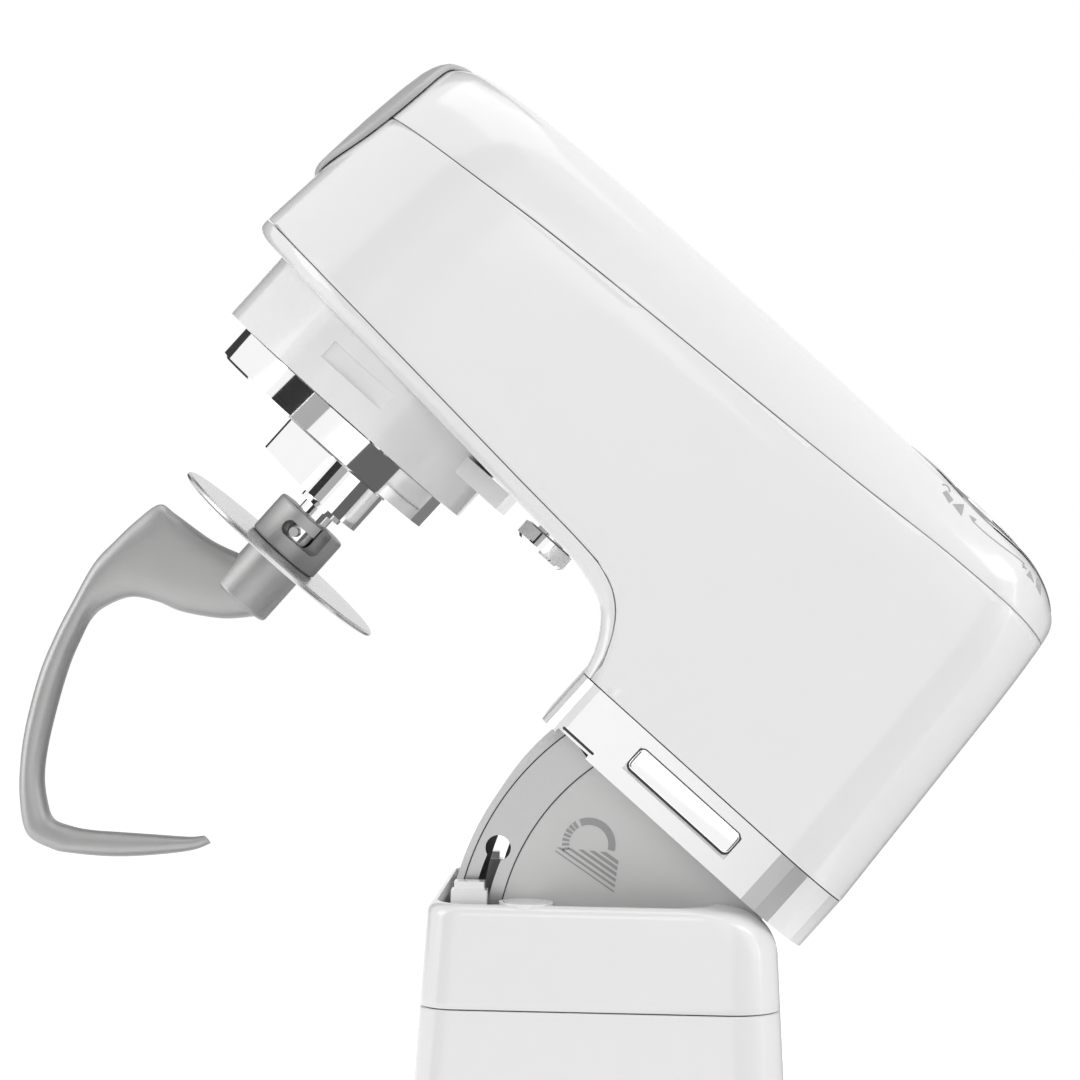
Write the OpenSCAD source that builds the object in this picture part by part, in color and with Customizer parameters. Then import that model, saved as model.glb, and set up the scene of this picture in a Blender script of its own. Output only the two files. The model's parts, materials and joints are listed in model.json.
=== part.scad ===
// Tilt-head stand mixer with a planetary drive, shown with its head raised and a dough hook fitted.
// Origin: on the table, under the middle of the machine. +X runs to the back, +Z up.
// Everything on the head is drawn with the head shut and the hinge at [0, 0, 0], then raised.

/* [Stance] */
// Height of the head's hinge above the table
hinge_z = 183; // [178:1:190]
// How far the hinge lies behind the middle of the machine
hinge_x = 104; // [102:0.5:106]
// Angle through which the head tilts back
open_angle = 41; // [38:0.5:42]

/* [Head] */
// Nose of the head in front of the hinge
nose_x = 288.5; // [284:0.1:292]
// Back of the head behind the hinge
back_x = 19; // [18:0.2:22]
// Top of the head above the hinge
head_top = 172.6; // [171:0.2:176]
// Width of the head
head_w = 122; // [120:1:126]
// Wall of the moulded covers
cover_wall = 2.8; // [2.2:0.1:3.2]
// Gap in the seams between covers
seam_gap = 0.5; // [0.4:0.1:0.8]
// Height of the bright band round the neck
band_h = 20.8; // [19:0.2:22]
// Underside of that band above the hinge
band_z = 18.5; // [18.5:0.1:19]

/* [Pedestal and base] */
// Width of the pedestal at its top
ped_w = 130; // [128:1:134]
// Front of the pedestal's top, ahead of the hinge
ped_front = 99.8; // [98.5:0.1:103]
// Radius of the rounded shoulder behind the hinge
shoulder_r = 17.5; // [17:0.1:18]
// Depth of the upper pedestal cover below its shoulder
ped_cover_h = 34; // [30:1:40]
// Widening of the pedestal for each millimetre down
ped_flare = 0.058; // [0.05:0.002:0.066]
// Width of the base
base_w = 216; // [212:1:220]
// Height of the bowl platform
deck_z = 42; // [40:0.5:44]
// Front of the base, ahead of the hinge
base_front = 323; // [320:1:326]
// Wall of the base moulding
base_wall = 3.2; // [2.6:0.1:3.6]
// Radius of the bowl seat's bore
seat_r = 57; // [54:0.5:60]
// Depth of the bowl seat's bore
seat_depth = 9; // [7:0.5:10]

/* [Tilt hinge and lock] */
// Radius of the hinge pin
hinge_pin_r = 6; // [5:0.1:6.5]
// Running clearance of shafts and pins
run_gap = 0.04; // [0.02:0.01:0.08]
// Outer radius of the neck shroud
shroud_r = 94; // [93:0.1:95]
// Width of the pedestal's ledge beside the neck shroud
ledge_w = 20; // [18:0.5:22]
// Radius at which the lock pin runs
lock_r = 84.5; // [84:0.1:85]
// Radius of the lock pin's thick collars
lock_pin_r = 4.1; // [3.8:0.1:4.2]
// Radius of the lock pin's waist
lock_waist_r = 2.2; // [2:0.1:2.3]
// Travel of the lock button
lock_travel = 6; // [5:0.5:6]

/* [Planetary drive] */
// Planetary axis ahead of the hinge
bowl_axis = 223.4; // [221:0.2:225]
// Gear module of the whole train
gear_m = 2; // [1.96:0.01:2.02]
// Teeth on the main wheel
main_teeth = 44; // [44:2:46]
// Teeth on the drive pinion
pinion_teeth = 12; // [12:2:14]
// Teeth inside the fixed ring
ring_teeth = 46; // [46:2:48]
// Teeth on the planet pinion
planet_teeth = 12; // [12:2:14]
// Backlash left between teeth
backlash = 0.35; // [0.3:0.05:0.5]
// Angle of the planet round its axis at rest
planet_angle = -56.2; // [-60:0.2:-50]
// Outer radius of the gearbox housing
housing_r = 54.2; // [54:0.1:55]
// Radius of the bright planet disc
disc_r = 47; // [46:0.5:48]
// Radius of the tool spindle
spindle_r = 6; // [5.6:0.1:6.2]
// Radius of the main shaft
main_shaft_r = 7; // [6.5:0.1:7.5]

/* [Motor and belt] */
// Motor axis ahead of the hinge
motor_x = 33.5; // [32:0.5:35]
// Radius of the motor's armature
armature_r = 26; // [24:0.5:27]
// Air gap round the armature
air_gap = 0.6; // [0.5:0.1:0.9]
// Outer radius of the stator
stator_r = 39; // [37:0.5:40]
// Radius of the motor and lay shafts
shaft_r = 5; // [4.5:0.1:5.2]
// Radius of the small belt pulley
small_pulley_r = 12; // [11:0.5:12.5]
// Radius of the large belt pulley
large_pulley_r = 36; // [34:0.5:37]
// Width of the belt
belt_w = 9; // [8:0.5:10]

/* [Tools and controls] */
// Radius of the splash disc on the hook
splash_r = 42; // [38:0.5:44]
// Half thickness of the hook's arm
hook_t = 5.5; // [4.5:0.1:6.5]
// Radius of the speed knob
knob_r = 26; // [22:0.5:28]
// Radius of the front outlet's cap
cap_r = 33; // [31:0.5:34]
// Radius of the lid over the top outlet
lid_r = 36.3; // [34:0.1:37]

/* [Hidden] */
$fn = 64;

white = [0.93, 0.93, 0.92];
grey = [0.72, 0.72, 0.71];
bright = [0.86, 0.87, 0.88];
steel = [0.62, 0.63, 0.64];
dark = [0.16, 0.16, 0.17];
copper = [0.72, 0.42, 0.24];
bronze = [0.66, 0.5, 0.28];

// ---- Levels and places that follow from the sizes above ----
join = 0.02;                             // overlap that fuses two forms of one solid
band_top = band_z + band_h;              // where the side shell stands on the band
lean_front = 0.107;                      // slope of the nose, back for each millimetre up
lean_back = 0.06;                        // slope of the head's back
seat_x = hinge_x - bowl_axis;            // bowl axis in the machine's frame
ped_top = hinge_z + shoulder_r;          // top of the pedestal
ped_split = ped_top - ped_cover_h;       // seam between pedestal cover and base
plate_z = 4;                             // underside of the base plate
plate_t = 3;
head_half = head_w / 2;
shroud_y = ped_w / 2 - ledge_w;          // half width of the neck shroud
neck_front = ped_front - 1;              // front of the head's neck, ahead of the hinge

frame_z = 78.5;                           // underside of the gear deck in the head
frame_t = 6;
motor_z = 41;                            // underside of the motor deck
motor_deck_t = 5;
bridge_z = 134;                          // underside of the bridge over the motor
bridge_t = 5;
belt_z = 148;                            // underside of the belt
gear_z = frame_z + frame_t + 2;          // underside of the main wheel
gear_w = 10;
ring_z = 52;
ring_w = 10;
housing_z = 49;                          // underside of the gearbox housing
disc_z = 36.2;                           // underside of the planet disc
boss_z = 21.5;                           // underside of the planet boss
spindle_end = 0.5;                       // lower end of the spindle
orbit_r = gear_m * (ring_teeth - planet_teeth) / 2;
mesh_r = gear_m * (main_teeth + pinion_teeth) / 2;
lay_x = -bowl_axis + mesh_r;             // lay shaft in the head's frame
spindle_x = -bowl_axis + orbit_r * cos(planet_angle);
spindle_y = orbit_r * sin(planet_angle);
cap_z = 137;                             // middle of the front outlet
lock_angle = -16.8;                      // direction of the lock pin seen from the hinge
lock_z = lock_r * sin(lock_angle);
lock_x = -lock_r * cos(lock_angle);

// ---- General helpers ----
function blend(t, a, b) = a + (b - a) * t;
// A quarter ellipse: lo at distance 0 from an end, hi at distance r and beyond
function corner(d, r, lo, hi) =
    d >= r ? hi : lo + (hi - lo) * sqrt(max(0, 1 - pow(1 - max(d, 0) / r, 2)));

// Skin over equal rings of points, closed at both ends
module loft(rings) {
    n = len(rings[0]);
    m = len(rings);
    polyhedron(
        points = [for (r = rings) each r],
        faces = concat(
            [[for (k = [0:n - 1]) k]],
            [[for (k = [n - 1:-1:0]) (m - 1) * n + k]],
            [for (i = [0:m - 2]) for (k = [0:n - 1]) each [
                [i * n + k, (i + 1) * n + (k + 1) % n, i * n + (k + 1) % n],
                [i * n + k, (i + 1) * n + k, (i + 1) * n + (k + 1) % n]
            ]]
        ),
        convexity = 8
    );
}

module on_head() {
    translate([hinge_x, 0, hinge_z]) rotate([0, open_angle, 0]) children();
}

// A flat shape drawn in x and z, as thick as |y1 - y0|
module slab_y(y0, y1) {
    translate([0, y1, 0]) rotate([90, 0, 0]) linear_extrude(height = y1 - y0) children();
}

module tube(r, bore, z0, h) {
    translate([0, 0, z0]) difference() {
        cylinder(r = r, h = h);
        translate([0, 0, -1]) cylinder(r = bore, h = h + 2);
    }
}

module both_sides() {
    for (s = [-1, 1]) scale([1, s, 1]) children();
}

// ---- The head's outer form ----
head_stations = [
    for (d = [0, 0.6, 1.8, 4, 7, 11, 16, 22, 32, 46, 62]) -nose_x + d,
    for (x = [-210, -170, -140]) x,
    for (d = [28.2, 19.2, 12.2, 6.7, 2.2, 0]) -neck_front - d,
    for (x = [-80, -50]) x,
    for (d = [54, 44, 34, 25, 17, 10, 5, 1.6, 0]) back_x - d
];
belly = [[-nose_x, 76.5], for (p = [[57.2, 67], [28.2, 65], [19.2, 63], [12.2, 60.4], [6.7, 55], [2.2, 47], [0, 39]])
    [-neck_front - p[0], p[1]]];

function belly_z(x, k = 0) =
    x <= belly[k][0] ? belly[k][1] :
    k == len(belly) - 1 ? band_top :
    x <= belly[k + 1][0] ? blend((x - belly[k][0]) / (belly[k + 1][0] - belly[k][0]), belly[k][1], belly[k + 1][1]) :
    belly_z(x, k + 1);

function crown_z(x) = head_top - pow((x + 165) / 130, 2) * (x < -165 ? 3 : 1.6);
function plan_w(x) = min(corner(x + nose_x, 62, 8, head_half), corner(back_x - x, 30, 20, head_half));
function top_z(x) = min(corner(x + nose_x, 22, 155, crown_z(x)), corner(back_x - x, 44, 156, crown_z(x)));
function floor_z(x) = corner(x + nose_x, 12, 80, belly_z(x));

function half_section(w, zb, zt) = let (
    rb = min(7, w / 4),
    rc = min(24, w * 0.5),
    hc = min(35, (zt - zb) * 0.42)
) concat(
    [[0, zb]],
    [for (a = [-90:30:0]) [w - rb + rb * cos(a), zb + rb + rb * sin(a)]],
    [[w, blend(0.5, zb + rb, zt - hc)]],
    [for (a = [0:15:75]) [w - rc + rc * cos(a), zt - hc - 1 + hc * sin(a)]],
    [[w - rc, zt - 1], [(w - rc) / 2, zt - 0.3]]
);

function head_ring(x, inset) = let (
    u = (x + nose_x) / (nose_x + back_x),
    w = plan_w(x) - inset,
    zb = floor_z(x) + (x > 0.8 - neck_front ? -join : inset),
    zt = top_z(x) - inset,
    half = half_section(w, zb, zt),
    last = len(half) - 1,
    xi = blend(u, x + inset, x - inset),
    ring = concat(half, [[0, zt]], [for (k = [last:-1:1]) [-half[k][0], half[k][1]]])
) [for (p = ring) [
    xi + lean_front * (p[1] - 86) * pow(1 - u, 3) - lean_back * (p[1] - 46) * pow(u, 3), p[0], p[1]
]];

module head_form(inset = 0) {
    loft([for (x = head_stations) head_ring(x, inset)]);
}

// Zone of the head above the upper seam, and zone below the lower seam
upper_seam = [[-310, 135.5], [-243, 138], [-204, 141], [-76, 147.2], [-30, 150], [60, 151.5]];
lower_seam = [[-310, 84], [-283, 81.8], [-161, 73], for (p = [[22.7, 70], [13.2, 67], [7.2, 62.8], [2.7, 57],
              [-0.6, 50], [-2.8, 43], [-3.8, band_top - 1]]) [-neck_front - p[0], p[1]]];
module above_upper_seam(shift) {
    slab_y(-head_w, head_w)
        polygon(concat([for (p = upper_seam) [p[0], p[1] + shift]], [[60, 220], [-310, 220]]));
}
module below_lower_seam(shift) {
    slab_y(-head_w, head_w)
        polygon(concat([for (p = lower_seam) [p[0] - shift, p[1] - shift]], [[3.8 - neck_front, 20], [-310, 20]]));
}

module head_skin() {
    difference() {
        head_form();
        difference() {
            head_form(cover_wall);
            translate([-400, -200, band_top - 50]) cube([500, 400, 50]);
        }
        translate([-neck_front + cover_wall, -(head_half - cover_wall - 8), band_top - 1])
            cube([neck_front + back_x - 20, head_w - 2 * cover_wall - 16, 8]);
    }
}

// Axis of the front outlet: out of the nose and square to it
module at_front_outlet() {
    translate([-nose_x + lean_front * (cap_z - 86), 0, cap_z]) rotate([0, -90 + atan(lean_front), 0]) children();
}
module at_lid() { translate([-motor_x, 0, 0]) children(); }
module at_planetary() { translate([-bowl_axis, 0, 0]) children(); }
module at_spindle() { translate([spindle_x, spindle_y, 0]) children(); }
module at_lay() { translate([lay_x, 0, 0]) children(); }

// ---- Involute gears ----
pressure = 20;
function inv(a) = tan(a) * 180 / PI - a;
function tooth_half(r, m, z, slack) = let (
    rp = m * z / 2, rb = rp * cos(pressure), a = r > rb ? acos(rb / r) : 0
) 90 / z - slack / rp * 90 / PI + inv(pressure) - inv(a);
module gear2d(m, z, add, ded, slack) {
    rp = m * z / 2;
    lo = rp - ded * m;
    hi = rp + add * m;
    radii = [lo, max(lo + 0.05, rp * cos(pressure)), rp, blend(0.55, rp, hi), hi];
    polygon([for (i = [0:z - 1]) each concat(
        [for (r = radii) let (a = 360 * i / z - tooth_half(r, m, z, slack)) r * [cos(a), sin(a)]],
        [for (k = [4:-1:0]) let (a = 360 * i / z + tooth_half(radii[k], m, z, slack)) radii[k] * [cos(a), sin(a)]]
    )]);
}
module gear(z, bore, z0, h) {
    translate([0, 0, z0]) linear_extrude(height = h) difference() {
        gear2d(gear_m, z, 0.8, 1.2, backlash);
        circle(r = bore);
    }
}

// ---- Base ----
base_r = base_w / 2;
base_cx = hinge_x - base_front + base_r;   // centre of the round front
base_back = hinge_x + 46;                  // back of the base
base_corner = 30;
tail_y = 66;                               // centres of the rear corners
cord_z = 19.5;                             // middle of the cord inlet
cord_hole_r = 8;

function base_ring(z, d) = concat(
    [for (a = [98:10.25:262.1]) [base_cx + (base_r - d) * cos(a), (base_r - d) * sin(a), z]],
    [for (a = [-84:21:0]) [base_back - base_corner + (base_corner - d) * cos(a),
        -tail_y + (base_corner - d) * sin(a), z]],
    [for (a = [0:21:84]) [base_back - base_corner + (base_corner - d) * cos(a),
        tail_y + (base_corner - d) * sin(a), z]]
);
function ped_ring(z, d, spread = 0) = let (
    g = ped_flare * (ped_top - z) + spread - d,
    x0 = hinge_x - ped_front - g, x1 = hinge_x + shoulder_r - 1 + g - 0.75 * spread, y = ped_w / 2 + g,
    rf = 12 + spread, rr = 18 + spread
) concat(
    [for (a = [180:15:270]) [x0 + rf + rf * cos(a), -y + rf + rf * sin(a), z]],
    [for (a = [270:15:360]) [x1 - rr + rr * cos(a), -y + rr + rr * sin(a), z]],
    [for (a = [0:15:90]) [x1 - rr + rr * cos(a), y - rr + rr * sin(a), z]],
    [for (a = [90:15:180]) [x0 + rf + rf * cos(a), y - rf + rf * sin(a), z]]
);
module platform_form() {
    loft([base_ring(3, 3), base_ring(6, 0), base_ring(deck_z - 12, 2), base_ring(deck_z - 6, 4.5),
          base_ring(deck_z - 2, 9), base_ring(deck_z, 15)]);
}
module platform_hollow() {
    d = base_wall;
    loft([base_ring(1, d + 1), base_ring(9, d + 1), base_ring(deck_z - 12, 2 + d), base_ring(deck_z - 6 - d, 4.5 + d),
          base_ring(deck_z - 2 - d, 9 + d), base_ring(deck_z - d, 15 + d)]);
}
module column_hollow() {
    loft([ped_ring(deck_z - 16, base_wall, 4), ped_ring(deck_z + 12, base_wall, 0), ped_ring(ped_split + 5, base_wall, 0)]);
}
module column_form() {
    loft([ped_ring(deck_z - 4, 0, 14), ped_ring(deck_z + 0.5, 0, 10), ped_ring(deck_z + 6, 0, 5),
          ped_ring(deck_z + 14, 0, 1.2), ped_ring(deck_z + 26, 0, 0), ped_ring(ped_split - seam_gap, 0, 0)]);
}

knob_x = hinge_x - 42;
knob_z = 88;
wall_y = ped_w / 2 + ped_flare * (ped_top - knob_z);   // side wall of the column at the knob

// Square to the sloping back wall, where the cord comes in
module at_cord() {
    slope = 2 / (deck_z - 18);
    translate([base_back - slope * (cord_z - 6), 0, cord_z]) rotate([0, 90 - atan(slope), 0]) children();
}
module button_hole() {
    translate([hinge_x + lock_x, ped_w / 2 - 8, hinge_z + lock_z]) rotate([-90, 0, 0]) cylinder(r = 11.5, h = 20);
}

module base_shell() color(white) {
    for (p = screw_places) translate([p[0], p[1], plate_z + plate_t]) cylinder(r = 5, h = deck_z - base_wall - 6.4);
    difference() {
        union() {
            platform_form();
            column_form();
        }
        difference() {
            platform_hollow();
            translate([seat_x, 0, plate_z + plate_t + 1]) cylinder(r = seat_r + 12, h = deck_z);
        }
        column_hollow();
        // pocket that the seat ring drops into
        translate([seat_x, 0, deck_z - seat_depth]) cylinder(r = seat_r + 9, h = seat_depth + 1);
        translate([seat_x, 0, 2]) cylinder(r = seat_r + 9, h = deck_z - seat_depth - base_wall - 2);
        // knob spindle, lock button and cord
        at_knob() translate([0, 0, -8]) cylinder(r = 7, h = 12);
        button_hole();
        at_cord() translate([0, 0, -12]) cylinder(r = cord_hole_r, h = 20);
    }
}

module shoulder_profile() {
    // side view of the pedestal's top, hinge at the origin
    g = ped_flare * ped_cover_h;
    polygon(concat(
        [[shoulder_r + g - 1, -ped_cover_h + shoulder_r], [shoulder_r, -1]],
        [for (a = [0:10:90]) shoulder_r * [cos(a), sin(a)]],
        [for (a = [90:30:180]) [-ped_front + 2.5 + 2.5 * cos(a), shoulder_r - 2.5 + 2.5 * sin(a)]],
        [[-ped_front - g, -ped_cover_h + shoulder_r]]
    ));
}
slot_front = shroud_r + 3;                 // front end of the slot in the pedestal's top
bumper_y = shroud_y + 3;                   // inner face of the ledge bumpers
bumper_w = 9;
ledge_cap_y = shroud_y + ledge_w / 2 + 0.5;
module pedestal_cover() color(white) {
    difference() {
        intersection() {
            loft([ped_ring(ped_split, 0), ped_ring(ped_top + 2, 0)]);
            translate([hinge_x, 0, hinge_z]) slab_y(-head_w, head_w) shoulder_profile();
        }
        intersection() {
            loft([ped_ring(ped_split - 1, base_wall), ped_ring(ped_top + 2, base_wall)]);
            translate([hinge_x, 0, hinge_z - base_wall]) slab_y(-head_w, head_w)
                polygon([[-ped_front - 9, -ped_cover_h], [shoulder_r + 6, -ped_cover_h], [shoulder_r - 3, -5],
                         [8, 12], [0, shoulder_r], [-ped_front - 9, shoulder_r]]);
        }
        translate([hinge_x - slot_front, -shroud_y - 1.2, hinge_z - 1])
            cube([slot_front + 60, 2 * shroud_y + 2.4, 60]);
        translate([hinge_x, -shroud_y - 1.2, hinge_z - 9]) cube([60, 2 * shroud_y + 2.4, 60]);
        both_sides() translate([hinge_x - 67, ledge_cap_y, ped_top - 1.5]) cylinder(r = 9.2, h = 3);
        both_sides() translate([hinge_x - 92, bumper_y, ped_top - 12]) cube([12, bumper_w, 20]);
        button_hole();
    }
}

module base_plate() color(grey) {
    difference() {
        translate([0, 0, plate_z]) linear_extrude(height = plate_t)
            polygon([for (p = base_ring(0, base_wall + 1.25)) [p[0], p[1]]]);
        for (p = foot_places) translate([p[0], p[1], 0]) cylinder(r = 4, h = 20);
        for (k = [0:6]) translate([hinge_x - 74 + 12 * k, -26, 0]) cube([4, 52, 20]);
    }
}

foot_places = [
    for (s = [-1, 1]) [hinge_x + 16, s * (ped_w / 2 - 1)],
    for (a = [120, 180, 240]) [base_cx + (base_r - 22) * cos(a), (base_r - 22) * sin(a)]
];
module rubber_feet() color(dark) {
    for (p = foot_places) translate([p[0], p[1], 0]) rotate_extrude()
        polygon([[0, 0], [9, 0], [10.5, 1], [10, plate_z], [4, plate_z], [4, plate_z + plate_t],
                 [5.5, plate_z + plate_t], [3.5, plate_z + plate_t + 4], [0, plate_z + plate_t + 4]]);
}

module bowl_seat_ring() color(bright) {
    translate([seat_x, 0, 0]) difference() {
        translate([0, 0, deck_z - seat_depth]) rotate_extrude()
            polygon([[seat_r, 0], [seat_r + 9, 0], [seat_r + 9, seat_depth], [seat_r + 7.5, seat_depth + 1.4],
                     [seat_r + 1.5, seat_depth + 1.4], [seat_r, seat_depth]]);
        // three bayonet slots for the bowl's foot
        for (a = [30, 150, 270]) rotate([0, 0, a]) translate([seat_r - 2, -9, deck_z - 6]) cube([6, 18, 10]);
        for (a = [30, 150, 270]) rotate([0, 0, a - 12]) translate([seat_r - 2, -14, deck_z - 6]) cube([5, 28, 3]);
    }
}

screw_places = [for (s = [-1, 1]) each
    [[-60, s * (base_w / 2 - 32)], [60, s * (ped_w / 2 + 11)], [hinge_x + 34, s * 40]]];
module base_screws() color(steel) {
    for (p = screw_places) translate([p[0], p[1], plate_z - 2]) {
        difference() {
            cylinder(r = 3.6, h = 2);
            translate([-0.5, -2.4, -1]) cube([1, 4.8, 1.8]);
            translate([-2.4, -0.5, -1]) cube([4.8, 1, 1.8]);
        }
    }
}

ear_y = shroud_y + 3;
ear_t = 8;
module hinge_bracket() color(steel) {
    foot_z = plate_z + plate_t;
    both_sides() difference() {
        translate([hinge_x, 0, 0]) slab_y(ear_y, ear_y + ear_t) polygon(concat(
            [[8, foot_z], [8, hinge_z - 20]],
            [for (a = [-30:20:210]) [10 * cos(a), hinge_z + 10 * sin(a)]],
            [[-30, hinge_z - 50], [-70, foot_z]]
        ));
        translate([hinge_x, 0, hinge_z]) rotate([-90, 0, 0]) cylinder(r = hinge_pin_r + 0.01, h = ear_y + 2 * ear_t);
        translate([hinge_x - 22, ear_y - 1, 55]) cube([18, ear_t + 2, 60]);
    }
    translate([hinge_x - 70, -ear_y - join, foot_z]) cube([92, 2 * ear_y + 2 * join, 4]);
}

module hinge_pin() color(steel) {
    translate([hinge_x, 0, hinge_z]) rotate([90, 0, 0]) {
        cylinder(r = hinge_pin_r, h = 2 * (ear_y + ear_t), center = true);
        for (s = [-1, 1]) translate([0, 0, s * (ear_y + ear_t + 1)]) cylinder(r = hinge_pin_r + 2, h = 2, center = true);
    }
}

module ledge_bumpers() color(white) {
    both_sides() translate([hinge_x - 92, bumper_y, ped_top - 11]) {
        cube([12, bumper_w, 15]);
        translate([0, 0, 15 - join]) linear_extrude(height = 2.8) translate([1, 1]) square([10, bumper_w - 2]);
    }
}

module ledge_caps() color(white) {
    both_sides() translate([hinge_x - 67, ledge_cap_y, ped_top - 1.5]) difference() {
        cylinder(r = 9, h = 2);
        translate([0, 0, 1.6]) tube(7.2, 6.4, 0, 1);
    }
}

guide_y = ear_y + ear_t;                   // inner face of the guide, on the bracket's ear
guide_t = 3;
module lock_guide() color(grey) {
    translate([hinge_x + lock_x, 0, hinge_z + lock_z]) both_sides() difference() {
        union() {
            translate([0, guide_y, 0]) rotate([-90, 0, 0]) cylinder(r = 8, h = guide_t);
            translate([0, guide_y, -6]) cube([70, guide_t, 9]);
        }
        translate([0, guide_y - 1, 0]) rotate([-90, 0, 0]) cylinder(r = lock_pin_r + run_gap, h = guide_t + 2);
    }
}

// On the column's sloping side wall, looking straight out of it
module at_knob() {
    translate([knob_x, -wall_y, knob_z]) rotate([90 - atan(ped_flare), 0, 0]) children();
}
module knob_bezel() color(bright) {
    at_knob() rotate_extrude()
        polygon([[7.5, 0], [knob_r + 4, 0], [knob_r + 4, 1.6], [knob_r + 2.6, 2.8], [knob_r + 1, 2.8],
                 [knob_r + 1, 1.4], [7.5, 1.4]]);
}

knob_shaft_r = 3;
module speed_switch() color(dark) {
    at_knob() translate([0, 0, -base_wall - 8.2]) difference() {
        union() {
            translate([-16, -16, 0]) cube([32, 32, 8.2]);
            for (k = [-1:1]) translate([9 * k - 1, -12, -3]) cube([2, 6, 3 + join]);
        }
        translate([0, 0, -1]) cylinder(r = knob_shaft_r + run_gap, h = 12);
    }
}

module control_board() color([0.1, 0.35, 0.2]) {
    translate([hinge_x - 62, -40, plate_z + plate_t + 8]) {
        cube([56, 80, 1.6]);
        for (k = [0:2]) translate([10 + 16 * k, 14, 1.6 - join]) cylinder(r = 5, h = 14);
        translate([8, 34, 1.6 - join]) cube([22, 30, 10]);
        translate([36, 30, 1.6 - join]) cube([4, 36, 20]);
        for (x = [4, 52]) for (y = [4, 76]) translate([x, y, -4]) cylinder(r = 2.5, h = 4 + join);
    }
}

module cord_inlet() color(dark) {
    at_cord() rotate_extrude()
        polygon([[3.6, -7], [cord_hole_r - 0.05, -7], [cord_hole_r - 0.05, 0.03], [cord_hole_r + 2, 0.03],
                 [cord_hole_r + 1, 2.6], [3.6, 2.6]]);
}

// ---- Controls that move on the base ----
module speed_knob() color(white) {
    at_knob() translate([0, 0, 1.8]) {
        rotate_extrude() polygon([[0, 0], [knob_r, 0], [knob_r, 6], [knob_r - 2.5, 13], [knob_r - 5, 14.6], [0, 15.4]]);
        translate([-3, -knob_r + 4, 15.3]) cube([6, 2 * knob_r - 8, 5.2]);
        translate([0, 0, -(1.8 + base_wall + 6)]) cylinder(r = knob_shaft_r, h = 1.8 + base_wall + 6 + join);
    }
}

// Held in, so that the waists stand in the strips and the head is free to tilt
button_in = guide_y + guide_t + 1.8;       // inner rim of the button
button_out = ped_w / 2 + ped_flare * (ped_top - hinge_z - lock_z) + 2;
module at_lock() {
    translate([hinge_x + lock_x, 0, hinge_z + lock_z]) rotate([-90, 0, 0]) children();
}
module lock_pin() color(steel) at_lock() {
    translate([0, 0, -shroud_y - lock_travel - 7]) cylinder(r = lock_pin_r, h = lock_travel + 5);
    translate([0, 0, -shroud_y - 3]) cylinder(r = lock_waist_r, h = 2 * shroud_y + 5);
    translate([0, 0, shroud_y - lock_travel - 3.5]) cylinder(r = lock_pin_r, h = lock_travel + 1);
    translate([0, 0, shroud_y + 1]) cylinder(r = lock_pin_r, h = button_in + 2.7 - shroud_y - 1);
}

module lock_button() color(grey) at_lock() rotate_extrude()
    polygon([[0, button_in + 2.7], [8, button_in + 2.7], [8, button_in], [11, button_in], [11, button_out - 1.5],
             [9.6, button_out - 0.3], [0, button_out]]);

spring_wire_r = 0.6;
module lock_spring() color(steel) at_lock()
    for (z = [guide_y + guide_t + spring_wire_r, button_in + 2.7 - spring_wire_r])
        translate([0, 0, z]) rotate_extrude() translate([6.4, 0]) circle(r = spring_wire_r, $fn = 16);

// ---- Head covers ----
module head_top_cover() color(white) on_head() {
    difference() {
        intersection() {
            head_skin();
            above_upper_seam(seam_gap / 2);
        }
        at_lid() translate([0, 0, 140]) cylinder(r = lid_r + 0.4, h = 50);
        at_front_outlet() translate([0, 0, -24]) cylinder(r = cap_r - 4, h = 40);
    }
}

module head_side_shell() color(white) on_head() {
    difference() {
        head_skin();
        above_upper_seam(-seam_gap / 2);
        below_lower_seam(-seam_gap / 2);
        at_front_outlet() translate([0, 0, -24]) cylinder(r = cap_r - 4, h = 40);
    }
}

module head_bottom_cover() color(white) on_head() {
    difference() {
        intersection() {
            head_skin();
            below_lower_seam(seam_gap / 2);
        }
        at_planetary() cylinder(r = housing_r + 0.3, h = 100);
        translate([-139.5, 0, 50]) cylinder(r = 6, h = 30);
    }
}

// Plan of the neck, straight up and down
neck_stations = [
    for (d = [0, 0.6, 2.3, 5, 8]) -neck_front + d,
    -50, for (d = [30, 24, 18, 12, 7, 3, 1, 0]) back_x - d
];
function neck_w(x) = min(plan_w(x), corner(x + neck_front, 8, head_half - 8, head_half));
module neck_plan(inset) {
    pts = [for (x = neck_stations) [x + inset * (x < -50 ? 1 : -1), neck_w(x) - inset]];
    polygon(concat(pts, [for (k = [len(pts) - 1:-1:0]) [pts[k][0], -pts[k][1]]]));
}

plate_len = 45;
plate_high = 9.2;
pocket_x = [-93, -79.6];
module neck_band() color(bright) on_head() {
    difference() {
        translate([0, 0, band_z]) linear_extrude(height = band_h - 0.4) difference() {
            neck_plan(-0.3);
            neck_plan(2.4);
        }
        both_sides() translate([-46 - plate_len / 2, -head_half - 4, band_z + 6]) cube([plate_len, 5.2, plate_high]);
        both_sides() translate([pocket_x[0], -head_half - 3, band_z - 1]) cube([pocket_x[1] - pocket_x[0], 8, 2.6]);
    }
}

module name_plate() color(bright) on_head() {
    both_sides() translate([-46 - plate_len / 2 + 0.3, -head_half + 0.2, band_z + 6.3])
        cube([plate_len - 0.6, 1, plate_high - 0.6]);
}

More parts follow.
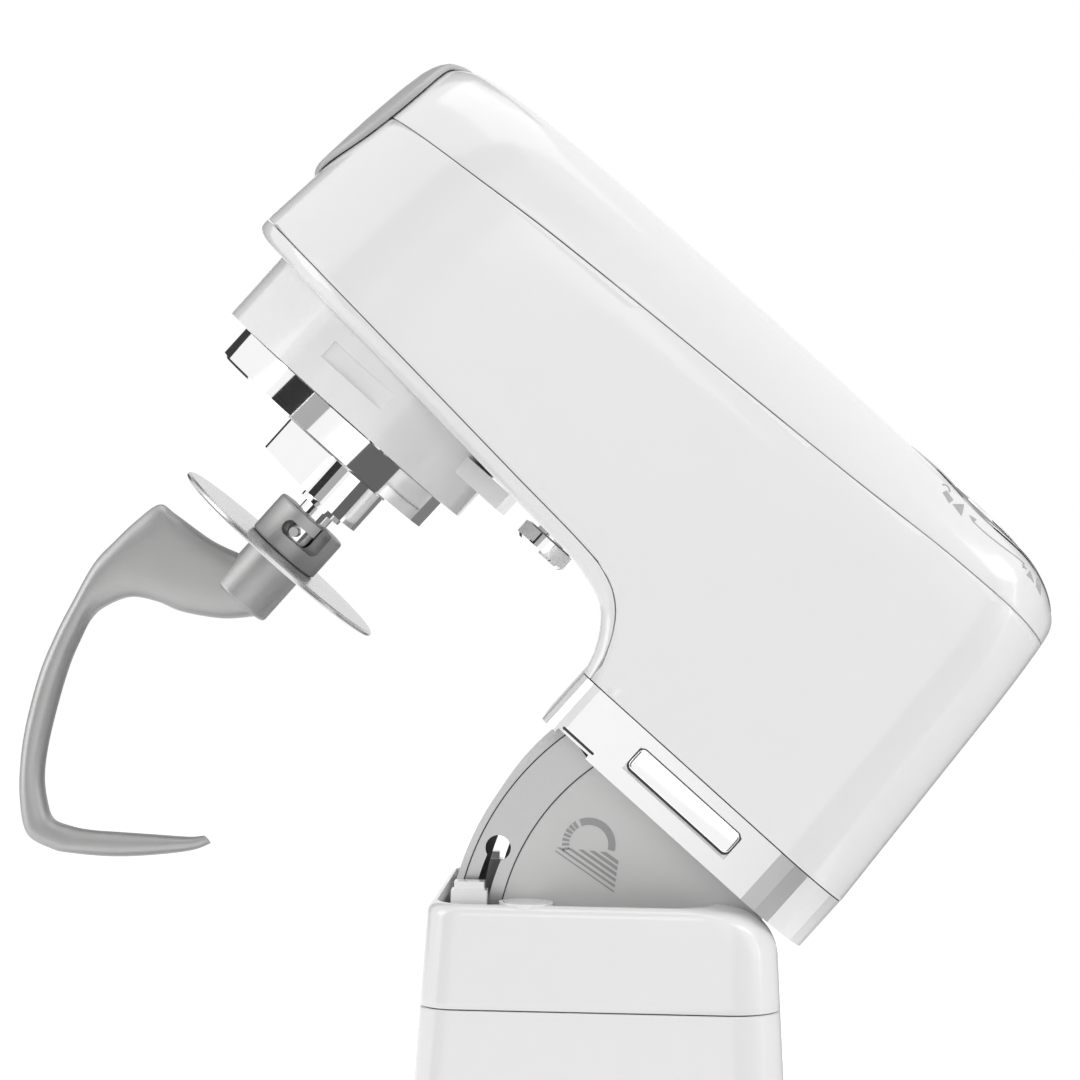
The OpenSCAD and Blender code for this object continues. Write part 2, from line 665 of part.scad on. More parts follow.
neck_rim = 11;                             // rear edge of the neck's floor, outside to opening
module neck_floor() color(white) on_head() {
    difference() {
        translate([0, 0, band_z + 1]) linear_extrude(height = 2.4) neck_plan(2.4 + 0.1);
        translate([-120, -shroud_y - 0.2, band_z - 5]) cube([110, 2 * shroud_y + 0.4, 20]);
        translate([-11, -39, band_z - 5]) cube([11 + back_x - neck_rim, 78, 20]);
        both_sides() translate([pocket_x[0], -bumper_y - bumper_w - 2.5, band_z - 5])
            cube([pocket_x[1] - pocket_x[0], bumper_w + 4.5, 20]);
    }
}

// ---- Neck shroud and lock strips ----
strip_in = 77.3;
strip_out = 91.5;
strip_low = -66;                           // lower end of the shroud, seen from the hinge
strip_high = 13;
panel_t = 2;
function arc(r, a0, a1, step) = let (n = max(1, round(abs(a1 - a0) / step))) [for (k = [0:n])
    let (a = blend(k / n, a0, a1)) r * [-cos(a), sin(a)]];
module sector(r0, r1, a0, a1) {
    intersection() {
        difference() {
            circle(r = r1, $fn = 180);
            circle(r = r0, $fn = 180);
        }
        polygon(concat([[0, 0]], arc(r1 * 1.2, a0, a1, 20)));
    }
}
module neck_shroud() color(grey) on_head() {
    difference() {
        union() {
            // outer curved wall
            slab_y(-shroud_y, shroud_y) sector(strip_out, shroud_r, strip_low, 12);
            // side panels, knuckle cheeks and their stiffening floor
            both_sides() slab_y(shroud_y - panel_t, shroud_y) {
                intersection() {
                    sector(10, strip_in, strip_low, 90);
                    translate([-100, -100]) square([100, 100 + band_z]);
                }
                circle(r = shoulder_r - 0.6);
            }
            slab_y(-shroud_y, shroud_y) sector(shoulder_r, strip_in, strip_low, strip_low + 3);
        }
        rotate([90, 0, 0]) cylinder(r = hinge_pin_r + 0.5, h = 200, center = true);
        slab_y(-shroud_y + panel_t, shroud_y - panel_t) circle(r = shoulder_r + 3);
    }
}
module lock_strips() color(steel) on_head() {
    both_sides() difference() {
        slab_y(shroud_y - 1.4, shroud_y - 0.2) sector(strip_in, strip_out, strip_low, strip_high);
        for (a = [lock_angle, lock_angle - open_angle])
            translate([-lock_r * cos(a), 0, lock_r * sin(a)]) rotate([-90, 0, 0]) cylinder(r = lock_pin_r + 0.2, h = 90);
        slab_y(0, 90) sector(lock_r - lock_waist_r - 0.3, lock_r + lock_waist_r + 0.3, lock_angle - open_angle, lock_angle);
    }
}

// ---- Head structure ----
module head_frame() color(grey) on_head() {
    difference() {
        union() {
            rotate([90, 0, 0]) cylinder(r = 15, h = 2 * shroud_y - 6, center = true);
            translate([-60, -30, -6]) cube([60, 60, 10]);
            for (s = [-1, 1]) translate([-60, s * 34 - 4, -6]) cube([58, 8, motor_z + 6 + join]);
            translate([0, 0, motor_z]) linear_extrude(height = motor_deck_t)
                polygon([[-92, -50], [-92, 50], [0, 50], [8, 41], [8, -41], [0, -50]]);
            translate([-92, -50, motor_z]) cube([5, 100, frame_z - motor_z + frame_t]);
            translate([0, 0, frame_z]) linear_extrude(height = frame_t)
                polygon([[-88, -50], [-88, 50], [-236, 50], [-262, 38], [-262, -38], [-236, -50]]);
            for (s = [-1, 1]) translate([-156, s * 40, frame_z]) cylinder(r = 4.5, h = bridge_z - frame_z);
        }
        rotate([90, 0, 0]) cylinder(r = hinge_pin_r + 0.6, h = 200, center = true);
        rotate([90, 0, 0]) for (s = [-1, 1]) translate([0, 0, s * (shroud_y - 3)]) cylinder(r = 9, h = 24, center = true);
        at_planetary() cylinder(r = 14, h = 200);
        at_lay() cylinder(r = 11, h = 200);
        at_lid() translate([0, 0, 30]) cylinder(r = 9, h = 60);
    }
}

module hinge_bushes() color(bronze) on_head() {
    rotate([90, 0, 0]) for (s = [-1, 1]) translate([0, 0, s * (shroud_y - 9)]) difference() {
        cylinder(r = 9, h = 12, center = true);
        cylinder(r = hinge_pin_r + run_gap, h = 14, center = true);
    }
}

module top_bridge() color(steel) on_head() {
    difference() {
        union() {
            translate([0, 0, bridge_z]) linear_extrude(height = bridge_t)
                polygon([[-178, -24], [-178, 24], [-156, 46], [-3, 46], [4, 38], [4, -38], [-3, -46], [-156, -46]]);
            for (s = [-1, 1]) translate([-motor_x, s * 42, 118]) cylinder(r = 3.4, h = bridge_z - 118 + join);
        }
        at_lid() cylinder(r = 9, h = 200);
        at_lay() cylinder(r = 11, h = 200);
        for (x = [-130, -98]) translate([x, -30, bridge_z - 1]) cube([20, 60, bridge_t + 2]);
    }
}

screw_head_t = 1.6;
module head_screws() color(steel) on_head() {
    for (s = [-1, 1]) {
        translate([-156, s * 40, bridge_z + bridge_t]) cylinder(r = 4, h = screw_head_t);
        translate([-80, s * 42, motor_z + motor_deck_t]) cylinder(r = 4, h = screw_head_t);
        translate([-110, s * 42, frame_z + frame_t]) cylinder(r = 4, h = screw_head_t);
        translate([-250, s * 30, frame_z + frame_t]) cylinder(r = 4, h = screw_head_t);
    }
}

// ---- Gearbox ----
module gearbox_housing() color(white) on_head() {
    difference() {
        union() {
            at_planetary() translate([0, 0, housing_z]) cylinder(r = housing_r, h = frame_z - housing_z);
            translate([-190, -30, 60]) cube([31, 60, 7]);
        }
        at_planetary() translate([0, 0, housing_z - 1]) cylinder(r = 51, h = 22);
        at_planetary() cylinder(r = 14, h = 200);
        // shallow window in the near wall
        translate([-236, -housing_r - 2, 59]) cube([30, 4, 7]);
    }
}

module ring_gear() color(steel) on_head() {
    at_planetary() translate([0, 0, ring_z]) difference() {
        cylinder(r = 51 - 0.03, h = ring_w);
        translate([0, 0, -1]) rotate([0, 0, planet_angle]) linear_extrude(height = ring_w + 2)
            gear2d(gear_m, ring_teeth, 1.2, 0.8, -backlash);
    }
}

module bearing(r, bore, z0, h) {
    tube(r, bore, z0, h);
}
module gearbox_bearings() color(steel) on_head() {
    at_planetary() bearing(14, main_shaft_r + run_gap, frame_z - 3.5, frame_t + 3.5);
    at_lay() bearing(11, shaft_r + run_gap, frame_z, frame_t);
    at_lay() bearing(11, shaft_r + run_gap, bridge_z, bridge_t);
    at_lid() bearing(9, shaft_r + run_gap, motor_z, motor_deck_t);
    at_lid() bearing(9, shaft_r + run_gap, bridge_z, bridge_t);
}

module guard_stud() color(bright) on_head() {
    translate([-139.5, 0, 58.5]) rotate_extrude()
        polygon([[0, 1.2], [6, 1.2], [7, 0], [9.7, 0], [10.7, 1], [10.7, 6], [9, 6.6], [5.95, 6.6], [5.95, 14], [0, 14]]);
}

module front_socket() color(bright) on_head() {
    at_front_outlet() translate([0, 0, -24]) difference() {
        cylinder(r = cap_r - 4, h = 13.5);
        translate([0, 0, 3]) cylinder(r = cap_r - 7, h = 20);
        translate([0, 0, -1]) cylinder(r = 7, h = 20);
    }
}

module front_cap() color(grey) on_head() {
    intersection() {
        difference() {
            head_form(-2.6);
            head_form(-0.35);
        }
        at_front_outlet() translate([0, 0, -24]) cylinder(r = cap_r, h = 60);
    }
    // rim that plugs into the socket
    intersection() {
        head_form(-1.5);
        at_front_outlet() tube(cap_r - 7.3, cap_r - 9.3, -16, 30);
    }
}

module top_socket() color(bright) on_head() {
    at_lid() tube(lid_r - 2, lid_r - 4.5, 158, 3.5);
    at_lid() translate([0, 0, bridge_z + bridge_t]) {
        for (a = [0, 90, 180, 270]) rotate([0, 0, a + 45]) translate([lid_r - 4, 0, 0])
            cylinder(r = 1.9, h = 158 - bridge_z - bridge_t + join);
    }
}

module top_lid() color(white) on_head() {
    intersection() {
        difference() {
            head_form();
            head_form(2.2);
        }
        at_lid() translate([0, 0, 160]) cylinder(r = lid_r, h = 50);
    }
}

// ---- Motor ----
module motor_stator() color(dark) on_head() {
    at_lid() {
        tube(stator_r, armature_r + air_gap, 66, 46);
        tube(stator_r - 5, armature_r + air_gap + 1.5, 60, 6 + join);
        tube(stator_r - 5, armature_r + air_gap + 1.5, 112 - join, 6);
        for (s = [-1, 1]) translate([-4, s * 40 - 4, 66]) cube([8, 8, 52]);
    }
}

module motor_bracket() color(steel) on_head() {
    at_lid() difference() {
        union() {
            tube(stator_r, stator_r - 4, motor_z + motor_deck_t, 20 - motor_deck_t + 5);
            for (s = [-1, 1]) translate([-8, s * 26 - 11, motor_z + motor_deck_t]) cube([16, 22, 2]);
        }
        for (a = [0:60:300]) rotate([0, 0, a]) translate([20, -5, 49]) cube([30, 10, 8]);
    }
}

module motor_brushes() color(dark) on_head() {
    at_lid() both_sides() {
        translate([-3, 12.3, 49.5]) cube([6, 12, 5]);
        translate([-5, 18, motor_z + motor_deck_t + 2]) cube([10, 14, 1.6]);
        translate([-5, 24, motor_z + motor_deck_t + 2]) cube([10, 6, 8]);
    }
}

module armature() color(steel) on_head() {
    at_lid() difference() {
        union() {
            translate([0, 0, 36]) cylinder(r = shaft_r, h = 128);
            translate([0, 0, 64]) cylinder(r = armature_r, h = 48);
        }
        for (a = [0:30:330]) rotate([0, 0, a]) translate([armature_r - 7, -1.4, 63]) cube([9, 2.8, 50]);
    }
}

module commutator() color(copper) on_head() {
    at_lid() difference() {
        tube(12, shaft_r, 47.5, 11);
        for (a = [0:15:345]) rotate([0, 0, a]) translate([10.6, -0.3, 46]) cube([3, 0.6, 14]);
    }
}

module cooling_fan() color(grey) on_head() {
    at_lid() {
        tube(9, shaft_r, 119.5, 11);
        tube(33, 8.9, 119.5, 1.6);
        for (a = [0:40:320]) rotate([0, 0, a]) translate([8, -0.8, 119.5]) cube([25, 1.6, 10]);
    }
}

groove = 1.2;
module toothed_pulley(r, bore, teeth, z0) {
    translate([0, 0, z0]) difference() {
        union() {
            cylinder(r = r, h = belt_w + 3);
            for (z = [0, belt_w + 1.8]) translate([0, 0, z]) cylinder(r = r + 1.6, h = 1.2);
        }
        translate([0, 0, -1]) cylinder(r = bore, h = belt_w + 5);
        for (k = [0:teeth - 1]) rotate([0, 0, 360 * k / teeth]) translate([r - groove, -1, 1.6])
            cube([groove + 1, 2, belt_w - 0.2]);
    }
}
module small_pulley() color(steel) on_head() { at_lid() toothed_pulley(small_pulley_r, shaft_r, 14, belt_z - 1.5); }
module large_pulley() color(dark) on_head() {
    at_lay() difference() {
        toothed_pulley(large_pulley_r, shaft_r, 42, belt_z - 1.5);
        for (a = [0:72:288]) rotate([0, 0, a]) translate([21, 0, belt_z - 3]) cylinder(r = 7.5, h = 20);
    }
}

belt_gap = 0.35;
belt_t = 1.1;
module belt_loop(grow) {
    d = lay_x + motor_x;
    lean = 90 - asin((large_pulley_r - small_pulley_r) / abs(d));   // where the straight runs leave the pulleys
    r1 = small_pulley_r + belt_gap + grow;
    r2 = large_pulley_r + belt_gap + grow;
    polygon(concat(
        [for (k = [0:24]) let (a = blend(k / 24, -lean, lean)) [-motor_x + r1 * cos(a), r1 * sin(a)]],
        [for (k = [0:36]) let (a = blend(k / 36, lean, 360 - lean)) [lay_x + r2 * cos(a), r2 * sin(a)]]
    ));
}
module drive_belt() color(dark) on_head() {
    translate([0, 0, belt_z]) linear_extrude(height = belt_w) difference() {
        belt_loop(belt_t);
        belt_loop(0);
    }
}

module top_coupling() color(dark) on_head() {
    at_lid() difference() {
        union() {
            translate([0, 0, 160.6]) cylinder(r = 13, h = 3);
            for (a = [0:60:300]) rotate([0, 0, a]) translate([8, -2, 160.6]) cube([4, 4, 6]);
        }
        translate([0, 0, 150]) cylinder(r = shaft_r, h = 14.2);
    }
}

module lay_shaft() color(steel) on_head() {
    at_lay() {
        translate([0, 0, frame_z]) cylinder(r = shaft_r, h = belt_z + belt_w + 3 - frame_z);
        rotate([0, 0, 180 / pinion_teeth]) gear(pinion_teeth, shaft_r - 1, gear_z, gear_w);
    }
}

// ---- Planet carrier ----
module main_gear() color(steel) on_head() {
    at_planetary() difference() {
        gear(main_teeth, main_shaft_r, gear_z, gear_w);
        for (a = [0:60:300]) rotate([0, 0, a]) translate([25, 0, 0]) cylinder(r = 8, h = 200);
    }
}
module main_shaft() color(steel) on_head() {
    at_planetary() {
        translate([0, 0, boss_z + 1]) cylinder(r = main_shaft_r, h = gear_z + gear_w + 2 - boss_z);
        translate([0, 0, gear_z + gear_w]) cylinder(r = 10, h = 3);
    }
}
bush_r = spindle_r + 3;
module planet_disc() color(bright) on_head() {
    difference() {
        at_planetary() translate([0, 0, disc_z]) rotate_extrude()
            polygon([[main_shaft_r, 0], [disc_r - 0.8, 0], [disc_r, 0.8], [disc_r, housing_z - disc_z - 0.6],
                     [main_shaft_r, housing_z - disc_z - 0.6]]);
        at_spindle() cylinder(r = bush_r, h = 60);
    }
}
module planet_boss() color(bright) on_head() {
    difference() {
        translate([0, 0, boss_z]) linear_extrude(height = disc_z - boss_z) hull() {
            at_planetary() circle(r = 14);
            translate([spindle_x, spindle_y]) circle(r = 14);
        }
        at_planetary() cylinder(r = main_shaft_r, h = 60);
        at_spindle() cylinder(r = bush_r, h = 60);
    }
}
module spindle_bush() color(bronze) on_head() {
    at_spindle() tube(bush_r, spindle_r + run_gap, boss_z, housing_z - 0.6 - boss_z);
}
module planet_pinion() color(steel) on_head() {
    at_spindle() rotate([0, 0, planet_angle]) gear(planet_teeth, spindle_r, ring_z, ring_w);
}

// ---- Spindle and hook ----
hub_r = 13.6;
pin_z = 8.2;
pin_r = 1.6;
module spindle_shaft() color(bright) on_head() {
    at_spindle() difference() {
        union() {
            translate([0, 0, spindle_end]) cylinder(r = spindle_r, h = ring_z + ring_w + 2 - spindle_end);
            translate([0, 0, ring_z + ring_w + 0.2]) cylinder(r = spindle_r + 2.4, h = 1.6);
            translate([0, 0, boss_z - 2.2]) cylinder(r = spindle_r + 2.4, h = 1.8);
        }
        translate([0, 0, pin_z]) rotate([90, 0, 0]) cylinder(r = pin_r, h = 40, center = true);
    }
}
module spindle_pin() color(steel) on_head() {
    at_spindle() translate([0, 0, pin_z]) rotate([90, 0, 0]) cylinder(r = pin_r, h = 27, center = true);
}

// Rungs across the hook from its outer edge to its inner edge, measured from the spindle's axis
hook_rungs = [
    [[-10, -10.5], [8, -23]], [[-21, -13.8], [0, -31.3]], [[-36.3, -15.5], [-12, -39]],
    [[-43, -16.8], [-21, -42.3]], [[-45.2, -26], [-29, -47.4]], [[-46, -36], [-33.3, -56]],
    [[-46.2, -47], [-34, -62.5]], [[-43, -61], [-32, -70]], [[-39.8, -73], [-29, -78.5]],
    [[-34.8, -87], [-23.5, -90]], [[-26.5, -103], [-16, -103.5]], [[-18.6, -114.5], [-9.5, -112.5]],
    [[-10, -124], [-3, -118]], [[0, -130.9], [3.1, -121]], [[9.9, -128.7], [9.5, -118.6]],
    [[16, -125], [15.8, -114.6]], [[27, -116.4], [24, -108]], [[37, -106.6], [32, -101.5]],
    [[46.5, -95.6], [42.5, -93]], [[49.7, -89.3], [46.2, -88.9]]
];
function hook_sway(k) = k < 6 ? 0 : -14 * pow((k - 6) / 13, 1.6);
function hook_ring(k) = let (
    o = hook_rungs[k][0], i = hook_rungs[k][1], c = (o + i) / 2, h = (o - i) / 2,
    t = k == len(hook_rungs) - 1 ? 2 : k < 4 ? hook_t + 1.2 - 0.3 * k : hook_t
) [for (a = [0:30:330]) [c[0] + h[0] * cos(a), hook_sway(k) + t * sin(a), c[1] + h[1] * cos(a)]];

module dough_hook() color(grey) on_head() {
    at_spindle() {
        difference() {
            union() {
                rotate_extrude() polygon([[0, -23], [9.5, -23], [11, -21.5], [11, -0.5], [hub_r, -0.5],
                                          [hub_r, 14.6], [hub_r - 0.8, 15.3], [0, 15.3]]);
                loft([for (k = [0:len(hook_rungs) - 1]) hook_ring(k)]);
            }
            cylinder(r = spindle_r + 0.25, h = 30);
            // bayonet slot: a way in from the top, then a quarter turn
            rotate([0, 0, 90]) intersection() {
                translate([0, 0, pin_z - pin_r - 0.25]) tube(hub_r + 1, spindle_r, 0, 2 * pin_r + 0.5);
                for (s = [0, 180]) rotate([0, 0, s]) linear_extrude(height = 20)
                    polygon([[0, -2], [40, -6.5], [40, 30], [10, 32]]);
            }
            for (s = [0, 180]) rotate([0, 0, s + 90 + 38]) translate([0, -pin_r - 0.3, pin_z - pin_r - 0.25])
                cube([20, 2 * pin_r + 0.6, 20]);
        }
    }
}
module splash_disc() color(grey) on_head() {
    at_spindle() translate([0, 0, -2.6]) rotate_extrude()
        polygon([[11, 0], [splash_r - 1, 0], [splash_r, 0.6], [splash_r, 1.4], [splash_r - 1, 2], [11, 2]]);
}

base_shell();
pedestal_cover();
base_plate();
rubber_feet();
bowl_seat_ring();
base_screws();
hinge_bracket();
hinge_pin();
ledge_bumpers();
ledge_caps();
lock_guide();
knob_bezel();
speed_switch();
control_board();
cord_inlet();
speed_knob();
lock_pin();
lock_button();
lock_spring();
head_top_cover();
head_side_shell();
head_bottom_cover();
neck_band();
name_plate();
neck_floor();
neck_shroud();
lock_strips();
head_frame();
top_bridge();
hinge_bushes();
head_screws();
gearbox_housing();
ring_gear();
gearbox_bearings();
guard_stud();
front_socket();
top_socket();
motor_stator();
motor_bracket();
motor_brushes();
drive_belt();
front_cap();
top_lid();
armature();
commutator();
cooling_fan();
small_pulley();
top_coupling();
lay_shaft();
large_pulley();
main_gear();
main_shaft();
planet_disc();
planet_boss();
spindle_bush();
planet_pinion();
spindle_shaft();
spindle_pin();
dough_hook();
splash_disc();
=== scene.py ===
"""Looks of a tilt-head stand mixer, built around its CAD frame in metres."""

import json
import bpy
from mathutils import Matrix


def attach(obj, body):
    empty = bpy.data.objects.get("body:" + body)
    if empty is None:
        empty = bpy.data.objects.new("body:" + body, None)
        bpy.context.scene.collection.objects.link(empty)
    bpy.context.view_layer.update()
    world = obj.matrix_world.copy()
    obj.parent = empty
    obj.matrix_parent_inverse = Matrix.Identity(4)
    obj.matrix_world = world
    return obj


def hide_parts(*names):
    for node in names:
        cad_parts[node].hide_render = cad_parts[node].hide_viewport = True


bl_info = {
    "name": "Stand Mixer Looks",
    "version": (1, 0, 0),
    "blender": (4, 5, 0),
    "location": "View3D > Sidebar > Stand Mixer",
    "description": "Shells, chrome, dough hook, marks and studio of a tilt-head stand mixer",
    "category": "Object",
}

from math import atan, copysign, cos, hypot, pi, radians, sin, sqrt, tan

import bmesh
import bpy
from bpy.props import FloatProperty, FloatVectorProperty, PointerProperty
from mathutils import Matrix, Vector

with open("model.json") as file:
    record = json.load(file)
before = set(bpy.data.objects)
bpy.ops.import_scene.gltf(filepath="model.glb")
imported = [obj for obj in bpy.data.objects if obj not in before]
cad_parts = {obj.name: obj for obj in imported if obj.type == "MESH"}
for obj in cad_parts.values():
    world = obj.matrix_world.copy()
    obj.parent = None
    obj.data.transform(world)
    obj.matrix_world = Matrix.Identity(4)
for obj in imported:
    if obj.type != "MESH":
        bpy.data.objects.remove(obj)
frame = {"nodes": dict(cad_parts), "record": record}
MM = 0.001

# Places that every piece is measured from
HINGE = Vector((104, 0, 183)) * MM
OPEN = radians(41)
HEAD = Matrix.Translation(HINGE) @ Matrix.Rotation(OPEN, 4, "Y")  # head's own axes, hinge at its origin
BOWL_AXIS = 223.4  # from the hinge to the bowl's axis, head level
BAND_TOP = 39.3  # where the side shell stands on the neck band
GAP = 0.5  # joints between covers
PED_TOP = 200.5
PED_SPLIT = 166.5  # seam between the column and its cover
DECK = 42.0  # top of the platform


# ---- What a user may change ----
def length(name, description, millimetres, low=0.0):
    return FloatProperty(name=name, description=description, default=millimetres * MM, min=low * MM,
                         subtype="DISTANCE", unit="LENGTH")


def colour(name, description, value):
    return FloatVectorProperty(name=name, description=description, default=value, size=3, min=0, max=1,
                               subtype="COLOR")


class MixerSizes(bpy.types.PropertyGroup):
    """Lengths of the pieces that are modelled here"""
    wall: length("Shell Wall", "Thickness of the head's covers", 2.8, 0.8)
    cover_edge: length("Cover Edge", "Rounding along the covers' seams", 0.35)
    column_wall: length("Column Wall", "Thickness of the cover on the column", 3.0, 0.8)
    cap_proud: length("Cap Height", "How far the front outlet cap stands out of the nose", 2.6, 0.8)
    rim_up: length("Lid Rim Height", "How far the lid's bright rim stands above the top cover", 0.9)
    mark_height: length("Mark Height", "Thickness of the printed marks", 0.1, 0.02)


class MixerFinish(bpy.types.PropertyGroup):
    """Colours of the finishes, and the level of the surroundings"""
    shell: colour("Shell", "Gloss plastic of the head and the base", (0.80, 0.80, 0.805))
    panel: colour("Panel", "Satin plastic of the neck's sides", (0.64, 0.64, 0.635))
    # The cap is grey plastic, but this grey is set darker to paint the shade on the cap's side wall.
    cap: colour("Cap", "Satin plastic of the front outlet cap", (0.47, 0.47, 0.47))
    lid_print: colour("Lid Marks", "Print round the lid", (0.42, 0.42, 0.42))
    side_print: colour("Padlock Marks", "Print on the neck's sides", (0.34, 0.34, 0.34))
    fill: FloatProperty(name="Fill", description="How strongly the surroundings light the mixer",
                        default=0.52, min=0, max=1, subtype="FACTOR")


# ---- Mesh helpers, in millimetres ----
def blend(t, a, b):
    return a + (b - a) * t


def quarter(d, r, lo, hi):
    """Quarter ellipse that starts at lo and reaches hi at distance r from an end."""
    if d >= r:
        return hi
    return lo + (hi - lo) * sqrt(max(0.0, 1 - (1 - max(d, 0.0) / r) ** 2))


def smooth_along(table, x):
    """Monotone cubic lookup in a list of (x, value) pairs."""
    n = len(table)
    if x <= table[0][0]:
        return table[0][1]
    if x >= table[-1][0]:
        return table[-1][1]
    slopes = [(table[i + 1][1] - table[i][1]) / (table[i + 1][0] - table[i][0]) for i in range(n - 1)]
    tangents = [slopes[0]] + [
        0.0 if a * b <= 0 else 2 * a * b / (a + b) for a, b in zip(slopes, slopes[1:])
    ] + [slopes[-1]]
    for i in range(n - 1):
        x0, x1 = table[i][0], table[i + 1][0]
        if x <= x1:
            h = x1 - x0
            t = (x - x0) / h
            return ((1 + 2 * t) * (1 - t) ** 2 * table[i][1] + t * (1 - t) ** 2 * h * tangents[i]
                    + t * t * (3 - 2 * t) * table[i + 1][1] + t * t * (t - 1) * h * tangents[i + 1])


def mesh_piece(name, bm, place=None):
    """Turns a bmesh in millimetres into a scene object in metres."""
    bmesh.ops.recalc_face_normals(bm, faces=bm.faces)
    mesh = bpy.data.meshes.new(name)
    bm.to_mesh(mesh)
    bm.free()
    mesh.transform(Matrix.Diagonal((MM, MM, MM, 1)))
    if place is not None:
        mesh.transform(place)
    mesh.shade_smooth()
    obj = bpy.data.objects.new(name, mesh)
    bpy.context.scene.collection.objects.link(obj)
    return obj


def quarter_turns(steps, first=1):
    """Angles up to a quarter turn, in equal steps."""
    return [pi / 2 * k / steps for k in range(first, steps + 1)]


def circle(r, steps, x=0, y=0):
    turns = [2 * pi * k / steps for k in range(steps)]
    return [(x + r * cos(a), y + r * sin(a)) for a in turns]


def arc(x, y, r, first, sweep, steps):
    """Points along an arc, both ends included. Angles are in degrees."""
    turns = [radians(first + sweep * k / steps) for k in range(steps + 1)]
    return [(x + r * cos(a), y + r * sin(a)) for a in turns]


def skin(rings, caps=True):
    """bmesh over equal closed rings of points, its two ends capped."""
    bm = bmesh.new()
    rows = [[bm.verts.new(p) for p in ring] for ring in rings]
    n = len(rings[0])
    for a, b in zip(rows, rows[1:]):
        for k in range(n):
            bm.faces.new((a[k], a[(k + 1) % n], b[(k + 1) % n], b[k]))
    if caps:
        bm.faces.new(rows[0])
        bm.faces.new(rows[-1])
    return bm


def looped_skin(rings):
    """bmesh over rings whose last one joins the first, as round a hoop."""
    bm = skin(rings + rings[:1], caps=False)
    bmesh.ops.remove_doubles(bm, verts=bm.verts, dist=1e-4)
    return bm


def finish_edges(obj, width=0.4, segments=2, angle=40):
    """Rounds the edges sharper than angle degrees by width millimetres."""
    bevel = obj.modifiers.new("rounded edges", "BEVEL")
    bevel.width = width * MM
    bevel.segments = segments
    bevel.limit_method = "ANGLE"
    bevel.angle_limit = radians(angle)
    return obj


def thicken(obj, wall):
    """Gives a skin its wall, inwards, in metres."""
    solid = obj.modifiers.new("wall", "SOLIDIFY")
    solid.thickness = wall
    solid.offset = -1
    return obj


# ---- Shader maths ----
class Term:
    """One socket of a shader tree, so that maths on it is written as an expression."""

    def __init__(self, shader, socket):
        self.shader = shader
        self.socket = socket

    def math(self, operation, *values):
        return self.shader.node("ShaderNodeMath", {"operation": operation}, dict(enumerate(values)))

    def __add__(self, other):
        return self.math("ADD", self, other)

    def __radd__(self, other):
        return self.math("ADD", other, self)

    def __sub__(self, other):
        return self.math("SUBTRACT", self, other)

    def __rsub__(self, other):
        return self.math("SUBTRACT", other, self)

    def __mul__(self, other):
        return self.math("MULTIPLY", self, other)

    def __rmul__(self, other):
        return self.math("MULTIPLY", other, self)

    def __gt__(self, other):
        return self.math("GREATER_THAN", self, other)

    def __lt__(self, other):
        return self.math("LESS_THAN", self, other)


class Shader:
    """A material with one Principled surface. Constants go straight onto its sockets."""

    def __init__(self, name, **constants):
        self.material = bpy.data.materials.new(name)
        self.material.use_nodes = True
        self.tree = self.material.node_tree
        self.tree.nodes.clear()
        output = self.tree.nodes.new("ShaderNodeOutputMaterial")
        self.surface = self.tree.nodes.new("ShaderNodeBsdfPrincipled")
        self.tree.links.new(self.surface.outputs["BSDF"], output.inputs["Surface"])
        self.set(**constants)

    def feed(self, socket, value):
        if isinstance(value, Term):
            self.tree.links.new(value.socket, socket)
        else:
            socket.default_value = value

    def node(self, kind, settings=None, inputs=None, output=0):
        """Adds a node: its settings first, then the values or links of its sockets."""
        node = self.tree.nodes.new(kind)
        for name, value in (settings or {}).items():
            setattr(node, name, value)
        for key, value in (inputs or {}).items():
            self.feed(node.inputs[key], value)
        return Term(self, node.outputs[output]) if output is not None else None

    def set(self, **links):
        for socket, value in links.items():
            self.feed(self.surface.inputs[socket.replace("_", " ")], value)

    def place(self, scale=(1, 1, 1)):
        """Metres of the object's own space, drawn out along the axes whose scale is small."""
        coords = self.node("ShaderNodeTexCoord", output="Object")
        return self.node("ShaderNodeMapping", {}, {"Vector": coords, "Scale": scale})

    def noise(self, size, detail=2.0, rough=0.5, where=None):
        """Noise from 0 to 1 whose blotches are about size millimetres across."""
        vector = where if where is not None else self.place()
        return self.node("ShaderNodeTexNoise", {}, {
            "Vector": vector, "Scale": 1 / (size * MM), "Detail": detail, "Roughness": rough})

    def tint(self, mask, low, high):
        """Mixes two colours by a mask."""
        return self.node("ShaderNodeMix", {"data_type": "RGBA"}, {
            0: mask, 6: (*low, 1), 7: (*high, 1)}, output=2)

    def bump(self, height, depth, strength=1.0):
        """Bump whose full height is depth millimetres."""
        return self.node("ShaderNodeBump", {}, {
            "Strength": strength, "Distance": depth * MM, "Height": height})


def grey(level):
    return (level, level, level)


# ---- Finishes, one for each material slot of the record ----
def gloss_plastic(name, colour, rough=0.16, coat=0.35):
    """Moulded gloss plastic: a faint mottle in its gloss and a very shallow orange peel."""
    s = Shader(name, Coat_Roughness=0.06, IOR=1.5)
    mottle = s.noise(14, 3)
    fine = s.noise(1.6, 2)
    s.set(Base_Color=s.tint(mottle, tuple(c * 0.985 for c in colour), colour),
          Roughness=rough - 0.03 + 0.06 * mottle + 0.03 * fine, Coat_Weight=coat,
          Normal=s.bump(s.noise(5, 1) * 0.7 + fine * 0.3, 0.01, 0.5))
    return s.material


